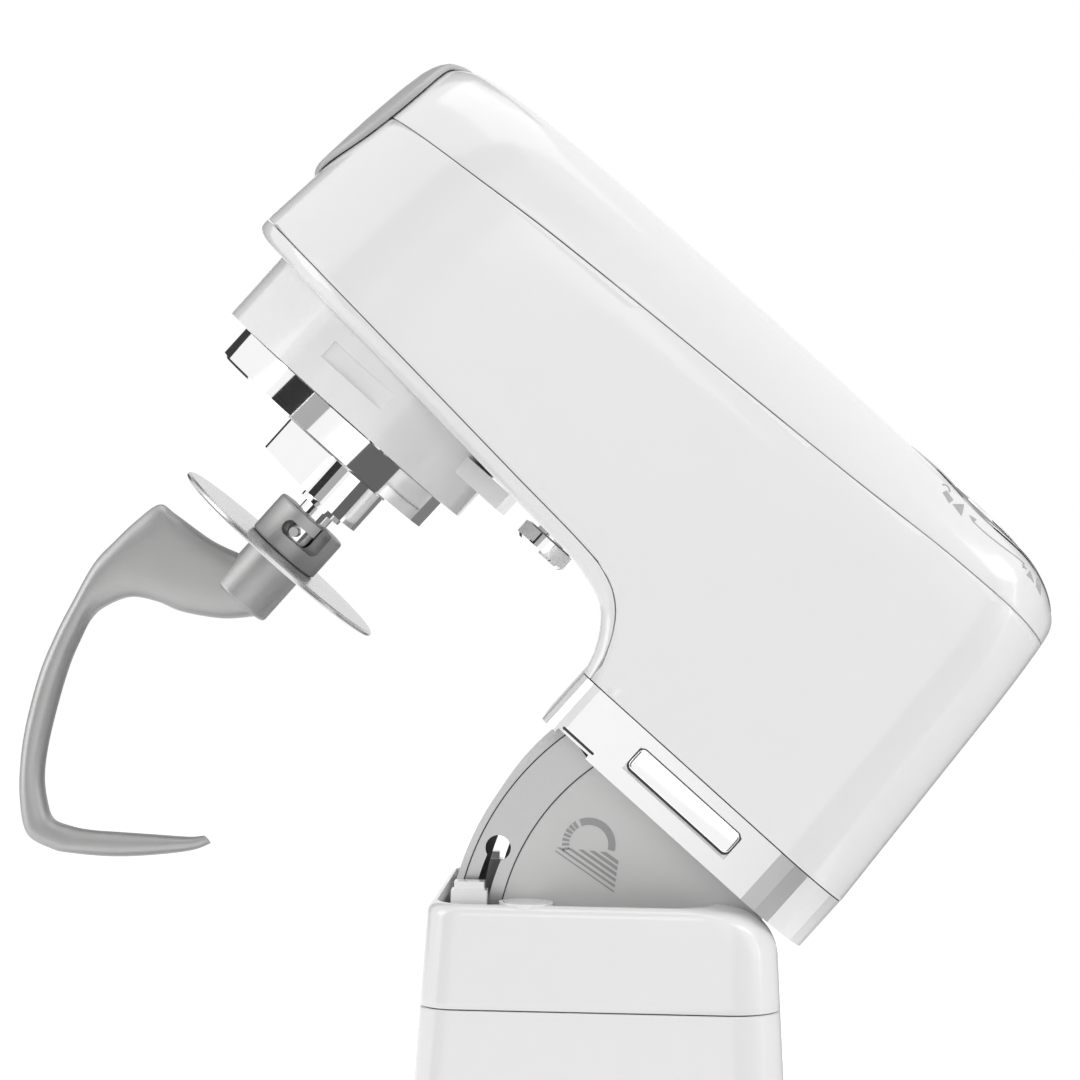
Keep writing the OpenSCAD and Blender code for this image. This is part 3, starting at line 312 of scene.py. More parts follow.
def satin_plastic(name, colour, rough=0.42, grain=0.28):
    """Spark-eroded satin plastic with a fine even grain."""
    s = Shader(name, IOR=1.48)
    grains = s.noise(grain, 2, 0.6)
    cloud = s.noise(22, 2)
    s.set(Base_Color=s.tint(cloud, tuple(c * 0.96 for c in colour), colour),
          Roughness=rough + 0.1 * grains, Normal=s.bump(grains, 0.03, 0.6))
    return s.material


def chrome_plate(name, level=0.93, rough=0.03):
    """Bright plating with a trace of polishing haze."""
    s = Shader(name, Metallic=1.0)
    haze = s.noise(9, 3)
    swirl = s.noise(0.5, 1, where=s.place((1, 1, 6)))
    s.set(Base_Color=s.tint(haze, grey(level * 0.97), (level, level, level * 1.01)),
          Roughness=rough + 0.035 * haze + 0.015 * swirl)
    return s.material


def brushed_steel(name, level=0.62, axis=(1, 1, 1), rough=0.28):
    """Steel brushed across one direction: fine long scratches in colour, gloss and bump."""
    s = Shader(name, Metallic=1.0)
    lines = s.noise(0.35, 2, 0.7, where=s.place(axis))
    band = s.noise(6, 2, 0.5, where=s.place(axis))
    s.set(Base_Color=s.tint(lines, grey(level * 0.86), (level, level, level * 0.995)),
          Roughness=rough - 0.06 + 0.14 * lines + 0.05 * band, Normal=s.bump(lines, 0.012, 0.5))
    return s.material


def sand_cast(name, level=0.43, rough=0.42):
    """Bead-blasted cast aluminium: small bright grains, soft pits and cloudy shade."""
    s = Shader(name, Metallic=1.0)
    grains = s.noise(0.42, 3, 0.7)
    pits = s.noise(1.3, 2)
    cloud = s.noise(16, 3)
    glint = s.node("ShaderNodeTexVoronoi", {"feature": "F1"}, {"Vector": s.place(), "Scale": 1 / (0.7 * MM)})
    bright = (level * 1.08, level * 1.08, level * 1.07)
    s.set(Base_Color=s.tint(cloud * 0.5 + grains * 0.5, grey(level * 0.82), bright),
          Roughness=rough + 0.16 * grains - 0.1 * (glint < 0.22),
          Normal=s.bump(grains * 0.7 + pits * 0.3, 0.07, 0.7))
    return s.material


def turned_metal(name, level=0.6, rough=0.3):
    """Machined or drawn metal with fine tool marks."""
    s = Shader(name, Metallic=1.0)
    marks = s.noise(0.3, 2, 0.6, where=s.place((0.15, 0.15, 1)))
    cloud = s.noise(9, 2)
    s.set(Base_Color=s.tint(cloud, grey(level * 0.88), grey(level)),
          Roughness=rough + 0.12 * marks, Normal=s.bump(marks, 0.01, 0.4))
    return s.material


def tinted_metal(name, low, high, rough, size=0.5):
    """Coloured metal, cloudy between two tints."""
    s = Shader(name, Metallic=1.0)
    cloud = s.noise(7, 3)
    fine = s.noise(size, 2)
    s.set(Base_Color=s.tint(cloud * 0.6 + fine * 0.4, low, high), Roughness=rough + 0.15 * fine,
          Normal=s.bump(fine, 0.03, 0.5))
    return s.material


def soft_rubber(name, colour):
    """Dull rubber with dust in its grain."""
    s = Shader(name, IOR=1.45)
    grains = s.noise(0.4, 3, 0.7)
    dust = s.noise(7, 4, 0.7)
    s.set(Base_Color=s.tint(dust, colour, tuple(c + 0.02 for c in colour)),
          Roughness=0.62 + 0.2 * grains, Normal=s.bump(grains, 0.05, 0.6))
    return s.material


def circuit_board(name):
    """Green laminate with paler tracks."""
    s = Shader(name, IOR=1.5)
    tracks = s.node("ShaderNodeTexBrick", {"offset": 0.37}, {
        "Vector": s.place(), "Scale": 240.0, "Mortar Size": 0.03,
        "Color1": (0.03, 0.16, 0.07, 1), "Color2": (0.04, 0.2, 0.09, 1), "Mortar": (0.1, 0.32, 0.15, 1)})
    s.set(Base_Color=tracks, Roughness=0.35 + 0.2 * s.noise(1, 2))
    return s.material


def all_finishes():
    colours = bpy.context.scene.mixer_finish
    return {
        "white_shell": gloss_plastic("white_gloss", colours.shell),
        "grey_plastic": satin_plastic("grey_panel", colours.panel),
        "plate_grey": satin_plastic("plate_satin", (0.55, 0.55, 0.55), 0.3, 0.5),
        "chrome": chrome_plate("bright_chrome"),
        "stainless": brushed_steel("brushed_stainless", 0.5, (1, 0.12, 1)),
        "cast_aluminium": sand_cast("sand_cast_aluminium"),
        "polished_disc": brushed_steel("satin_disc", 0.66, (1, 1, 0.4), 0.24),
        "steel": turned_metal("machined_steel"),
        "motor_iron": tinted_metal("motor_laminations", (0.2, 0.2, 0.21), (0.34, 0.34, 0.35), 0.4),
        "copper": tinted_metal("copper_windings", (0.5, 0.2, 0.1), (0.85, 0.42, 0.24), 0.25),
        "bronze": tinted_metal("sintered_bronze", (0.42, 0.28, 0.13), (0.6, 0.43, 0.22), 0.4),
        "black_plastic": satin_plastic("black_plastic", (0.025, 0.025, 0.027), 0.4),
        "rubber": soft_rubber("black_rubber", (0.03, 0.03, 0.031)),
        "board": circuit_board("circuit_board"),
        # The cap's own grey plastic, darkened to paint the shade on its side wall.
        "cap_grey_and_shade": satin_plastic("cap_grey_and_shade", colours.cap, 0.3, 0.4),
        "satin_band": chrome_plate("satin_band", 0.82, 0.4),
        "dark_chrome": chrome_plate("dark_chrome", 0.36),
        "print_dark": satin_plastic("printed_dark", colours.side_print, 0.5, 0.5),
        "print_grey": satin_plastic("printed_grey", colours.lid_print, 0.5, 0.5),
    }


_finishes = {}


def finish(name):
    """Finish of that name. All of them are made at the first call."""
    if not _finishes:
        _finishes.update(all_finishes())
    return _finishes[name]


# ---- The head's outer form, in the head's own axes ----
NOSE = -288.5
BACK = 19.0
HEAD_TOP = 172.6
HALF = 61.0
NECK_FRONT = -98.8
LEAN_FRONT, LEAN_BACK = 0.107, 0.06  # slopes of the nose and of the back
LEAN_FRONT_FROM, LEAN_BACK_FROM = 86, 46  # heights that the two slopes leave in place
BELLY = [(NOSE, 76.5), (-156, 67), (-127, 65), (-118, 63), (-111, 60.4), (-105.5, 55), (-101, 47),
         (NECK_FRONT, BAND_TOP)]
UPPER_SEAM = [(-310, 135.5), (-243, 138), (-204, 141), (-76, 147.2), (-30, 150), (60, 151.5)]
LOWER_SEAM = [(-310, 84), (-283, 81.8), (-161, 73), (-121.5, 70), (-112, 67), (-106, 62.8), (-101.5, 57),
              (-98.2, 50), (-96, 43), (-95, 30)]
CAP_Z = 137.0  # middle of the front outlet
LID_X = -33.5  # middle of the top outlet
CAP_X = NOSE + LEAN_FRONT * (CAP_Z - LEAN_FRONT_FROM)
CAP_LEAN = atan(LEAN_FRONT)
CROWN_AT = -165  # x of the highest section
NOSE_ROUND, BACK_ROUND = 62, 44  # how far the rounding reaches from either end
BELLY_ROUND = 7.0
CORNER_W, CORNER_H = 24, 35  # rounding along the top of the sides
BELLY_CURVED_FROM = -150  # behind this the belly turns into the throat


def crown(x):
    return HEAD_TOP - ((x - CROWN_AT) / 130) ** 2 * (3 if x < CROWN_AT else 1.6)


def head_width(x):
    return min(quarter(x - NOSE, NOSE_ROUND, 8, HALF), quarter(BACK - x, 30, 20, HALF))


def head_height(x):
    return min(quarter(x - NOSE, 22, 155, crown(x)), quarter(BACK - x, BACK_ROUND, 156, crown(x)))


def belly(x):
    return quarter(x - NOSE, 12, 80, smooth_along(BELLY, x))


def lean_at(x, z):
    u = (x - NOSE) / (BACK - NOSE)
    return LEAN_FRONT * (z - LEAN_FRONT_FROM) * (1 - u) ** 3 - LEAN_BACK * (z - LEAN_BACK_FROM) * u ** 3


def corners(w, low, top):
    """Half width of the flat top, width and height of its rounded corners."""
    rc = min(CORNER_W, w * 0.5)
    return w - rc, rc, min(CORNER_H, (top - low) * 0.42)


def span_distance(p, line):
    """Signed distance from p to an open chain of points: positive on its left."""
    best, side = 1e9, 1
    for a, b in zip(line, line[1:]):
        dx, dz = b[0] - a[0], b[1] - a[1]
        t = max(0.0, min(1.0, ((p[0] - a[0]) * dx + (p[1] - a[1]) * dz) / (dx * dx + dz * dz)))
        ex, ez = p[0] - a[0] - t * dx, p[1] - a[1] - t * dz
        d = hypot(ex, ez)
        if d < best - 1e-9:
            best, side = d, 1 if dx * ez - dz * ex >= 0 else -1
    return best * side


def dense(table, steps):
    xs = [blend(k / steps, table[0][0], table[-1][0]) for k in range(steps + 1)]
    return [(x, smooth_along(table, x)) for x in xs]


THROAT = dense(BELLY[1:], 90) + [(NECK_FRONT, 15)]


def head_stations():
    """Places of the sections, closer together where the form turns."""
    front = [NOSE + NOSE_ROUND * (1 - cos(a)) for a in quarter_turns(30, 0)]
    middle = [blend(k / 14, NOSE + NOSE_ROUND, BELLY[1][0]) for k in range(1, 14)]
    throat = [p[0] for p in dense(BELLY[1:], 60)[::2]] + [NECK_FRONT + d for d in (-1.2, -0.6, -0.25, 0)]
    neck = [NECK_FRONT + 7 * (1 - cos(a)) for a in quarter_turns(5)] + [-85, -76, -66, -56, -46, -38, -31]
    rear = [BACK - BACK_ROUND * (1 - cos(a)) for a in quarter_turns(18, 0)[:-1]]
    out = []
    for x in sorted(front + middle + throat + neck + rear):
        if not out or x - out[-1] > 0.02:
            out.append(x)
    return out


def head_ring(x):
    """Outline of the head in the section at x, from the middle of the belly round to it again."""
    w, low, top = head_width(x), belly(x), head_height(x)
    rb = min(BELLY_ROUND, w / 4)
    flat, rc, hc = corners(w, low, top)
    half = []
    for k, a in enumerate(quarter_turns(8, 0)):
        want = rb * (1 - cos(a))
        if x < BELLY_CURVED_FROM:
            z = low + want
            d = z - low
        else:
            # height at which the throat is this far away
            lo, hi = low, low + 45
            for _ in range(22):
                mid = (lo + hi) / 2
                lo, hi = (mid, hi) if abs(span_distance((x, mid), THROAT)) < want else (lo, mid)
            z = max(lo, low + 0.9 * k) if x > NECK_FRONT + rb else lo
            d = min(rb, abs(span_distance((x, z), THROAT)))
        half.append((w - rb + sqrt(max(0, rb * rb - (rb - d) ** 2)), z))
    z0, z1 = half[-1][1], top - hc - (w / flat) ** 2
    half += [(w, blend(k / 14, z0, z1)) for k in range(1, 14)]
    for a in quarter_turns(14, 0):
        y = flat + rc * cos(a)
        half.append((y, top - hc + hc * sin(a) - (y / flat) ** 2))
    for k in range(1, 7):
        y = flat * (1 - k / 6)
        half.append((y, top - (y / flat) ** 2))
    half = [(0.0, low), (half[0][0] * 0.5, low)] + half
    loop = half + [(-y, z) for y, z in half[-2:0:-1]]
    return [(x + lean_at(x, z), y, z) for y, z in loop]


_head_rings = []


def head_mesh():
    if not _head_rings:
        _head_rings.extend(head_ring(x) for x in head_stations())
    return skin(_head_rings)


def slice_by(bm, field):
    """Adds edges where field(point) is 0, without removing anything."""
    value = {v: field(v.co) or 1e-6 for v in bm.verts}
    fresh = {}
    for e in list(bm.edges):
        a, b = e.verts
        fa, fb = value[a], value[b]
        if fa * fb < 0:
            t = fa / (fa - fb)
            if t < 0.002 or t > 0.998:
                v = a if t < 0.5 else b
            else:
                _, v = bmesh.utils.edge_split(e, a, t)
            fresh[v] = True
    for f in list(bm.faces):
        marks = [v for v in f.verts if v in fresh]
        if len(marks) >= 2:
            for v in marks[1:]:
                if not any(v in e.verts and marks[0] in e.verts for e in f.edges):
                    try:
                        bmesh.utils.face_split(f, marks[0], v)
                    except ValueError:
                        pass
                    break
    return bm


def drop(bm, test):
    """Removes the faces whose middle passes the test."""
    gone = [f for f in bm.faces if test(f.calc_center_median())]
    bmesh.ops.delete(bm, geom=gone, context="FACES")
    loose = [v for v in bm.verts if not v.link_faces]
    bmesh.ops.delete(bm, geom=loose, context="VERTS")
    return bm


def ride_as(obj, body, slot, material, *nodes):
    """Common end of every piece: its finish, what carries it and which CAD nodes it stands for."""
    obj.data.materials.clear()
    obj.data.materials.append(material)
    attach(obj, body)
    if nodes:
        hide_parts(*nodes)
    return obj


def head_piece(name, bm, slot, material, *nodes, body="head"):
    """Piece built in the head's own axes."""
    return ride_as(mesh_piece(name, bm, HEAD), body, slot, finish(material), *nodes)


def outlet_gap(p, r):
    """Distance outside a cylinder of radius r about the front outlet's axis."""
    return hypot(p.y, (p.z - CAP_Z) * cos(CAP_LEAN) + (p.x - CAP_X) * sin(CAP_LEAN)) - r


def upper_gap(p):
    return p.z - smooth_along(UPPER_SEAM, p.x)


def lower_gap(p):
    return span_distance((p.x, p.z), LOWER_LINE)


LOWER_LINE = [(-320, 84.8)] + dense(LOWER_SEAM, 120)
CAP_HOLE, LID_HOLE, HOUSING_HOLE = 31.6, 36.8, 54.7  # radii of the openings
CAP_HOLE_BEFORE = -220  # the opening is cut only this far forward


def cut_away(bm, field):
    """Cuts along field(point) = 0 and removes what lies below it."""
    slice_by(bm, field)
    return drop(bm, lambda p: field(p) < 0)


def cut_cap_hole(bm):
    return cut_away(bm, lambda p: outlet_gap(p, CAP_HOLE) if p.x < CAP_HOLE_BEFORE else 1)


def cut_neck(bm, margin):
    """Opens the head's form where it stands on the neck band."""
    return drop(bm, lambda p: p.z < BAND_TOP + 0.05 and p.x > NECK_FRONT + margin)


def top_cover_mesh():
    bm = cut_away(head_mesh(), lambda p: upper_gap(p) - GAP / 2)
    cut_away(bm, lambda p: hypot(p.x - LID_X, p.y) - LID_HOLE)
    return cut_cap_hole(bm)


def side_shell_mesh():
    bm = cut_away(head_mesh(), lambda p: -upper_gap(p) - GAP / 2)
    cut_away(bm, lambda p: lower_gap(p) - GAP / 2)
    return cut_cap_hole(cut_neck(bm, -0.5))


def bottom_cover_mesh():
    bm = cut_away(head_mesh(), lambda p: -lower_gap(p) - GAP / 2)
    cut_neck(bm, 0.1)
    return cut_away(bm, lambda p: hypot(p.x + BOWL_AXIS, p.y) - HOUSING_HOLE)


class MIXER_OT_head_covers(bpy.types.Operator):
    """Top cover, side shell and bottom cover of the head, parted by thin seams"""
    bl_idname = "mixer.head_covers"
    bl_label = "Head Covers"

    def execute(self, context):
        sizes = context.scene.mixer_sizes
        for name, make in (("top_cover", top_cover_mesh), ("side_shell", side_shell_mesh),
                           ("bottom_cover", bottom_cover_mesh)):
            obj = thicken(mesh_piece(name, make(), HEAD), sizes.wall)
            finish_edges(obj, sizes.cover_edge / MM)
            ride_as(obj, "head", "white_shell", finish("white_shell"), "head_" + name)
        return {"FINISHED"}


# ---- Outlet cap, top lid and printed marks ----
CAP_R, LID_R, COLLAR_R = 33.0, 36.3, 44.9  # outer radii
CAP_AXIS = Vector((-cos(CAP_LEAN), 0, sin(CAP_LEAN)))
CAP_UP = Vector((sin(CAP_LEAN), 0, cos(CAP_LEAN)))
ARCH = 0.4  # height of the rounded top of a hoop


def cross_height(x, y):
    """Height of the head's outline over y in the section at x."""
    top = head_height(x)
    flat, rc, hc = corners(head_width(x), belly(x), top)
    drop_off = (y / flat) ** 2
    if abs(y) <= flat:
        return top - drop_off
    return top - hc + hc * sqrt(max(0.0, 1 - ((abs(y) - flat) / rc) ** 2)) - drop_off


def unlean(x, z):
    """Station whose section passes through x at the height z."""
    back = x
    for _ in range(8):
        back = x - lean_at(back, z)
    return back


def top_at(x, y):
    """Height of the head's top over a point of its plan."""
    z = HEAD_TOP
    for _ in range(6):
        z = cross_height(unlean(x, z), y)
    return z


def inside_head(p):
    x = unlean(p.x, p.z)
    return NOSE < x < BACK and abs(p.y) < head_width(x) and p.z < cross_height(x, p.y)


def nose_depth(y, t):
    """Point at (y, t) across the outlet's axis, and how far along the axis the nose lies from it."""
    at = Vector((CAP_X, y, CAP_Z)) + CAP_UP * t
    near, far = 6.0, -40.0
    for _ in range(30):
        mid = (near + far) / 2
        near, far = (near, mid) if inside_head(at + CAP_AXIS * mid) else (mid, far)
    return at, near


def nose_point(y, t, proud):
    """Point that stands proud of the nose, square to it."""
    e = 0.4
    at, depth = nose_depth(y, t)
    dy = (nose_depth(y + e, t)[1] - nose_depth(y - e, t)[1]) / (2 * e)
    dt = (nose_depth(y, t + e)[1] - nose_depth(y, t - e)[1]) / (2 * e)
    normal = (CAP_AXIS - Vector((0, dy, 0)) - CAP_UP * dt).normalized()
    return at + CAP_AXIS * depth + normal * proud


def disc_rings(surface, profile, steps=120):
    """Rings of a turned disc laid over a surface: profile is (radius, height) pairs."""
    return [[surface(a, b, h) for a, b in circle(r, steps)] for r, h in profile]


def cap_mesh(proud):
    """Arched cap with a rounded rim, and a collar on its back that plugs the outlet."""
    edge = 1.6
    crown_line = [(CAP_R * f, proud + 0.35 * (1 - f ** 2)) for f in (0.02, 0.2, 0.4, 0.55, 0.7, 0.8, 0.88)]
    rim = [(CAP_R - edge + edge * sin(a), proud - edge + edge * cos(a)) for a in quarter_turns(10, 0)]
    under = [(CAP_R, 0.7), (CAP_R - 0.8, 0.35), (CAP_R - 2.6, 0.35), (CAP_R - 6.5, 0.35), (CAP_R - 6.5, -9),
             (CAP_R - 9, -9), (CAP_R - 9, 0.35), (1, 0.35)]
    return skin(disc_rings(nose_point, crown_line + rim + under))


def lid_point(x, y, h):
    return (LID_X + x, y, top_at(LID_X + x, y) + h)


def lid_mesh():
    profile = [(0.6, 0.25), (10, 0.25), (20, 0.25), (28, 0.22), (LID_R - 3.4, 0.15), (LID_R - 2.2, 0.0),
               (LID_R - 1.9, -0.35), (LID_R - 1.9, -2.2), (0.6, -2.2)]
    return skin(disc_rings(lid_point, profile))


def hoop(r, wide, up, down=-2.0):
    """Ring with a rounded top, r outside and wide across, standing up above the top cover."""
    rim = [(r - wide, down), (r - wide, up - ARCH)]
    rim += [(r - wide / 2 - wide / 2 * cos(a), up - ARCH + ARCH * sin(a))
            for a in (radians(30 * k) for k in range(1, 6))]
    rim += [(r, up - ARCH), (r, down)]
    return looped_skin(disc_rings(lid_point, rim))


def plate_on(outline, surface, high, deep=-0.15, cell=1.6):
    """Thin plate with a straight-sided outline, cut into cells so that it follows a surface."""
    bm = bmesh.new()
    bm.faces.new([bm.verts.new((a, b, 0)) for a, b in outline])
    for axis, normal in enumerate((Vector((1, 0, 0)), Vector((0, 1, 0)))):
        lo, hi = min(p[axis] for p in outline), max(p[axis] for p in outline)
        for k in range(1, int((hi - lo) / cell) + 1):
            bmesh.ops.bisect_plane(bm, geom=bm.verts[:] + bm.edges[:] + bm.faces[:],
                                   plane_co=normal * (lo + k * cell), plane_no=normal)
    raised = bmesh.ops.extrude_face_region(bm, geom=bm.faces[:])["geom"]
    lifted = {v for v in raised if isinstance(v, bmesh.types.BMVert)}
    for v in bm.verts:
        v.co = surface(v.co.x, v.co.y, high if v in lifted else deep)
    return bm


def arc_line(r, a0, a1, wide, steps):
    """Outline of a curved stroke about the origin."""
    outer, inner = (arc(0, 0, r + half, a0, a1 - a0, steps) for half in (wide / 2, -wide / 2))
    return outer + inner[::-1]


def marks_mesh(outlines, surface):
    """Plates with the given outlines, all in one bmesh."""
    high = bpy.context.scene.mixer_sizes.mark_height / MM
    whole = bmesh.new()
    for outline in outlines:
        bm = plate_on(outline, surface, high)
        mesh = bpy.data.meshes.new("mark")
        bm.to_mesh(mesh)
        bm.free()
        whole.from_mesh(mesh)
        bpy.data.meshes.remove(mesh)
    return whole


def print_on_head(name, outlines, surface, slot, material):
    """Marks printed on the head, flat shaded."""
    marks = mesh_piece(name, marks_mesh(outlines, surface), HEAD)
    marks.data.shade_flat()
    ride_as(marks, "head", slot, finish(material))


def cover_marks():
    """Open padlock, pointers, turn arrow and shut padlock round the lid, in the lid's plan."""
    def around(turn, r, points):
        c, s = cos(radians(turn)), sin(radians(turn))
        return [((r + q) * c - p * s, (r + q) * s + p * c) for p, q in points]

    body = [(-2.0, -1.0), (2.0, -1.0), (2.0, 1.0), (-2.0, 1.0)]
    shackle = arc_line(1.55, 165, 350, 0.6, 14)
    return [around(-106.2, 51.1, body), around(-109.3, 49.7, shackle),
            around(-100.2, 50.2, [(-2.4, 1.1), (2.4, 1.1), (0.1, -2.9)]),
            around(-94, 48.9, [(-1.4, 0), (1.4, 1.0), (1.4, -1.0)]),
            arc_line(49.6, -93, -66, 0.36, 34),
            around(-65.8, 50.9, [(1.2, 0), (-1.0, 0.8), (-1.0, -0.8)]),
            around(-61.8, 51.7, [(-2.2, 1.0), (2.4, 0.6), (-0.6, -1.6)]),
            around(-55.0, 51.3, body), around(-55.0, 50.2, arc_line(1.55, 180, 360, 0.6, 14))]


class MIXER_OT_caps(bpy.types.Operator):
    """Front outlet cap, the lid on top with its bright rim, and the marks round it"""
    bl_idname = "mixer.caps"
    bl_label = "Cap and Lid"

    def execute(self, context):
        sizes = context.scene.mixer_sizes
        head_piece("outlet_cap", cap_mesh(sizes.cap_proud / MM), "grey_plastic", "cap_grey_and_shade", "front_cap",
                   body="front_cap")
        lid = mesh_piece("lid_disc", lid_mesh(), HEAD)
        ride_as(finish_edges(lid, 0.25), "top_lid", "white_shell", finish("white_shell"), "top_lid")
        head_piece("lid_rim", hoop(LID_R, 1.7, sizes.rim_up / MM), "chrome", "chrome", body="top_lid")
        head_piece("lid_collar", hoop(COLLAR_R, 1.4, 0.7, -0.4), "chrome", "dark_chrome")
        print_on_head("lid_marks", cover_marks(), lid_point, "grey_plastic", "print_grey")
        return {"FINISHED"}


# ---- The base's outer form, in the machine's axes ----
HX, HZ = 104.0, 183.0  # x and z of the hinge
PED_W, PED_FRONT = 130.0, 99.8  # column: width, and reach ahead of the hinge
FLARE = 0.058  # how the column widens towards its foot
SHOULDER = 17.5  # radius round the hinge at the column's back
LEDGE_ROUND = 3.5
BASE_R, BASE_CX = 108.0, -111.0  # round front of the platform
BASE_BACK, TAIL_R, TAIL_Y = 150.0, 30.0, 66.0
SEAT_X, SEAT_OPENING = HX - BOWL_AXIS, 66.2
BUTTON_AT, BUTTON_R = (23.1, 158.6), 11.5  # x and z of the lock's push button
SLOT_X, SLOT_Y, SLOT_Z = HX - 97, 46.2, HZ - 9  # opening of the column's cover for the neck
COLUMN_WALL = 3.2


def rounded_ring(x0, x1, y, front_r, rear_r, z, steps=10):
    """Plan outline of the column at one height, from its front left corner round to the same side."""
    rounds = ((x0 + front_r, front_r - y, front_r, 180), (x1 - rear_r, rear_r - y, rear_r, 270),
              (x1 - rear_r, y - rear_r, rear_r, 0), (x0 + front_r, y - front_r, front_r, 90))
    return [(*p, z) for corner in rounds for p in arc(*corner, 90, steps)]


def column_ring(z, spread=0.0, inset=0.0):
    """Outline of the column, spread outwards at its foot or set in for a wall."""
    g = FLARE * (PED_TOP - z) + spread - inset
    x0, x1, y = HX - PED_FRONT - g, HX + SHOULDER - 1 + g - 0.75 * spread, PED_W / 2 + g
    if z > HZ - 1:
        x1 = min(x1, HX + sqrt(max(0.0, SHOULDER ** 2 - (z - HZ) ** 2)) - inset)
    return rounded_ring(x0, x1, y, 12 + spread - 0.5 * inset, 18 + spread, z)


def pedestal_cover_mesh():
    levels = [blend(k / 6, PED_SPLIT, HZ - 1) for k in range(7)]
    levels += [HZ - 1 + (SHOULDER + 1 - LEDGE_ROUND) * k / 24 for k in range(1, 25)]
    rings = [column_ring(z) for z in levels]
    rings += [column_ring(PED_TOP - LEDGE_ROUND * (1 - sin(a)), 0, LEDGE_ROUND * (1 - cos(a)))
              for a in quarter_turns(8)]
    bm = skin(rings)
    drop(bm, lambda p: p.z < PED_SPLIT + 0.01)
    for field in (lambda p: abs(p.y) - SLOT_Y, lambda p: p.x - SLOT_X, lambda p: p.z - SLOT_Z):
        slice_by(bm, field)
    drop(bm, lambda p: abs(p.y) < SLOT_Y and p.x > SLOT_X and p.z > SLOT_Z)
    return cut_away(bm, button_gap)


def tail_ring(z, inset):
    """Outline of the platform: its round front, then the two corners at the back."""
    outline = arc(BASE_CX, 0, BASE_R - inset, 98, 164, 40)
    for y, first in ((-TAIL_Y, -84), (TAIL_Y, 0)):
        outline += arc(BASE_BACK - TAIL_R, y, TAIL_R - inset, first, 84, 8)
    return [(*p, z) for p in outline]


def platform_mesh():
    rings = [tail_ring(3, 3.2)]
    rings += [tail_ring(3 + 3 * sin(a), 3 * (1 - sin(a)) ** 1.2) for a in quarter_turns(5)]
    rings += [tail_ring(z, d) for z, d in ((14, 0.5), (22, 1.2), (30, 2.0), (33, 2.8), (36, 4.5))]
    return skin(rings + [tail_ring(36 + 6 * sin(a), 4.5 + 10.5 * (1 - cos(a))) for a in quarter_turns(10)])


def column_mesh():
    rings = [column_ring(DECK - 6, 14)]
    rings += [column_ring(DECK - 0.4 + 15 * (1 - cos(a)), 11.5 * (1 - sin(a)) ** 1.15)
              for a in quarter_turns(14)]
    rings += [column_ring(z) for z in (70, 95, 120, 145)]
    rings.append(column_ring(PED_SPLIT - GAP - 0.4))
    rings.append(column_ring(PED_SPLIT - GAP, 0, 0.3))
    return skin(rings)


def button_gap(p):
    """Distance outside the hole for the lock's button, on the far side of the column."""
    return hypot(p.x - BUTTON_AT[0], p.z - BUTTON_AT[1]) - BUTTON_R if p.y > 0 else 1


def button_cutter():
    ring = circle(BUTTON_R, 64, *BUTTON_AT)
    return skin([[(x, y, z) for x, z in ring] for y in (PED_W / 2 - 12, PED_W / 2 + 12)])


def seat_cutter():
    ring = circle(SEAT_OPENING, 96, SEAT_X)
    return skin([[(x, y, z) for x, y in ring] for z in (DECK - 9, DECK + 5)])


def join_by(obj, other, operation):
    """Boolean of two pieces, applied at once, and the other piece removed."""
    mod = obj.modifiers.new(operation.lower(), "BOOLEAN")
    mod.operation = operation
    mod.solver = "EXACT"
    mod.object = other
    with bpy.context.temp_override(object=obj, active_object=obj, selected_objects=[obj]):
        bpy.ops.object.modifier_apply(modifier=mod.name)
    mesh = other.data
    bpy.data.objects.remove(other)
    bpy.data.meshes.remove(mesh)
    return obj


def weight_normals(obj, weight=50):
    weighted = obj.modifiers.new("steady shading", "WEIGHTED_NORMAL")
    weighted.keep_sharp = True
    weighted.weight = weight


def steady_normals(obj, angle=35):
    """Keeps wide flat faces flat in their shading beside rounded ones."""
    obj.data.shade_smooth()
    bm = bmesh.new()
    bm.from_mesh(obj.data)
    for e in bm.edges:
        if len(e.link_faces) == 2 and e.calc_face_angle(0) > radians(angle):
            e.smooth = False
    bm.to_mesh(obj.data)
    bm.free()
    weight_normals(obj, 90)


class MIXER_OT_base_shells(bpy.types.Operator):
    """Platform with its column, and the cover on the column"""
    bl_idname = "mixer.base_shells"
    bl_label = "Base Shells"

    def execute(self, context):
        white = finish("white_shell")
        shell = mesh_piece("platform", platform_mesh())
        join_by(shell, mesh_piece("column", column_mesh()), "UNION")
        hollow = [column_ring(z, 0, COLUMN_WALL) for z in (20, PED_SPLIT + 5)]
        for name, bm in (("seat", seat_cutter()), ("under", skin([tail_ring(z, 4.4) for z in (-5, 28)])),
                         ("hollow", skin(hollow)), ("button_hole", button_cutter())):
            join_by(shell, mesh_piece(name, bm), "DIFFERENCE")
        steady_normals(shell)
        ride_as(shell, "base", "white_shell", white, "base_shell")
        cover = mesh_piece("column_cover", pedestal_cover_mesh())
        thicken(cover, context.scene.mixer_sizes.column_wall)
        finish_edges(cover, 0.4)
        ride_as(cover, "base", "white_shell", white, "pedestal_cover")
        return {"FINISHED"}


# ---- Badge, slit and printed padlock ----
BAND_FACE = HALF + 0.3
BADGE_AT, BADGE_W, BADGE_H = (-46.0, 29.9), 45.0, 9.3  # the badge with its channel
PLATE_W, PLATE_H, PLATE_ROUND = BADGE_W - 0.9, BADGE_H - 1.15, 2.0
PLATE_UP = 0.22  # leaves the channel wider along its lower edge
SLIT_AT, SLIT_W, SLIT_H = (-85.3, 21.4), 13.6, 0.9
PANEL_FACE = 45.0
PADLOCK_AT = (-59.0, -3.0)
SHACKLE_R, SHACKLE_WIDE = 7.8, 2.45
BARS = (1.4, 1.3, 1.2, 1.05, 0.85, 0.5)  # thickness of the bars of the padlock's body, from the top


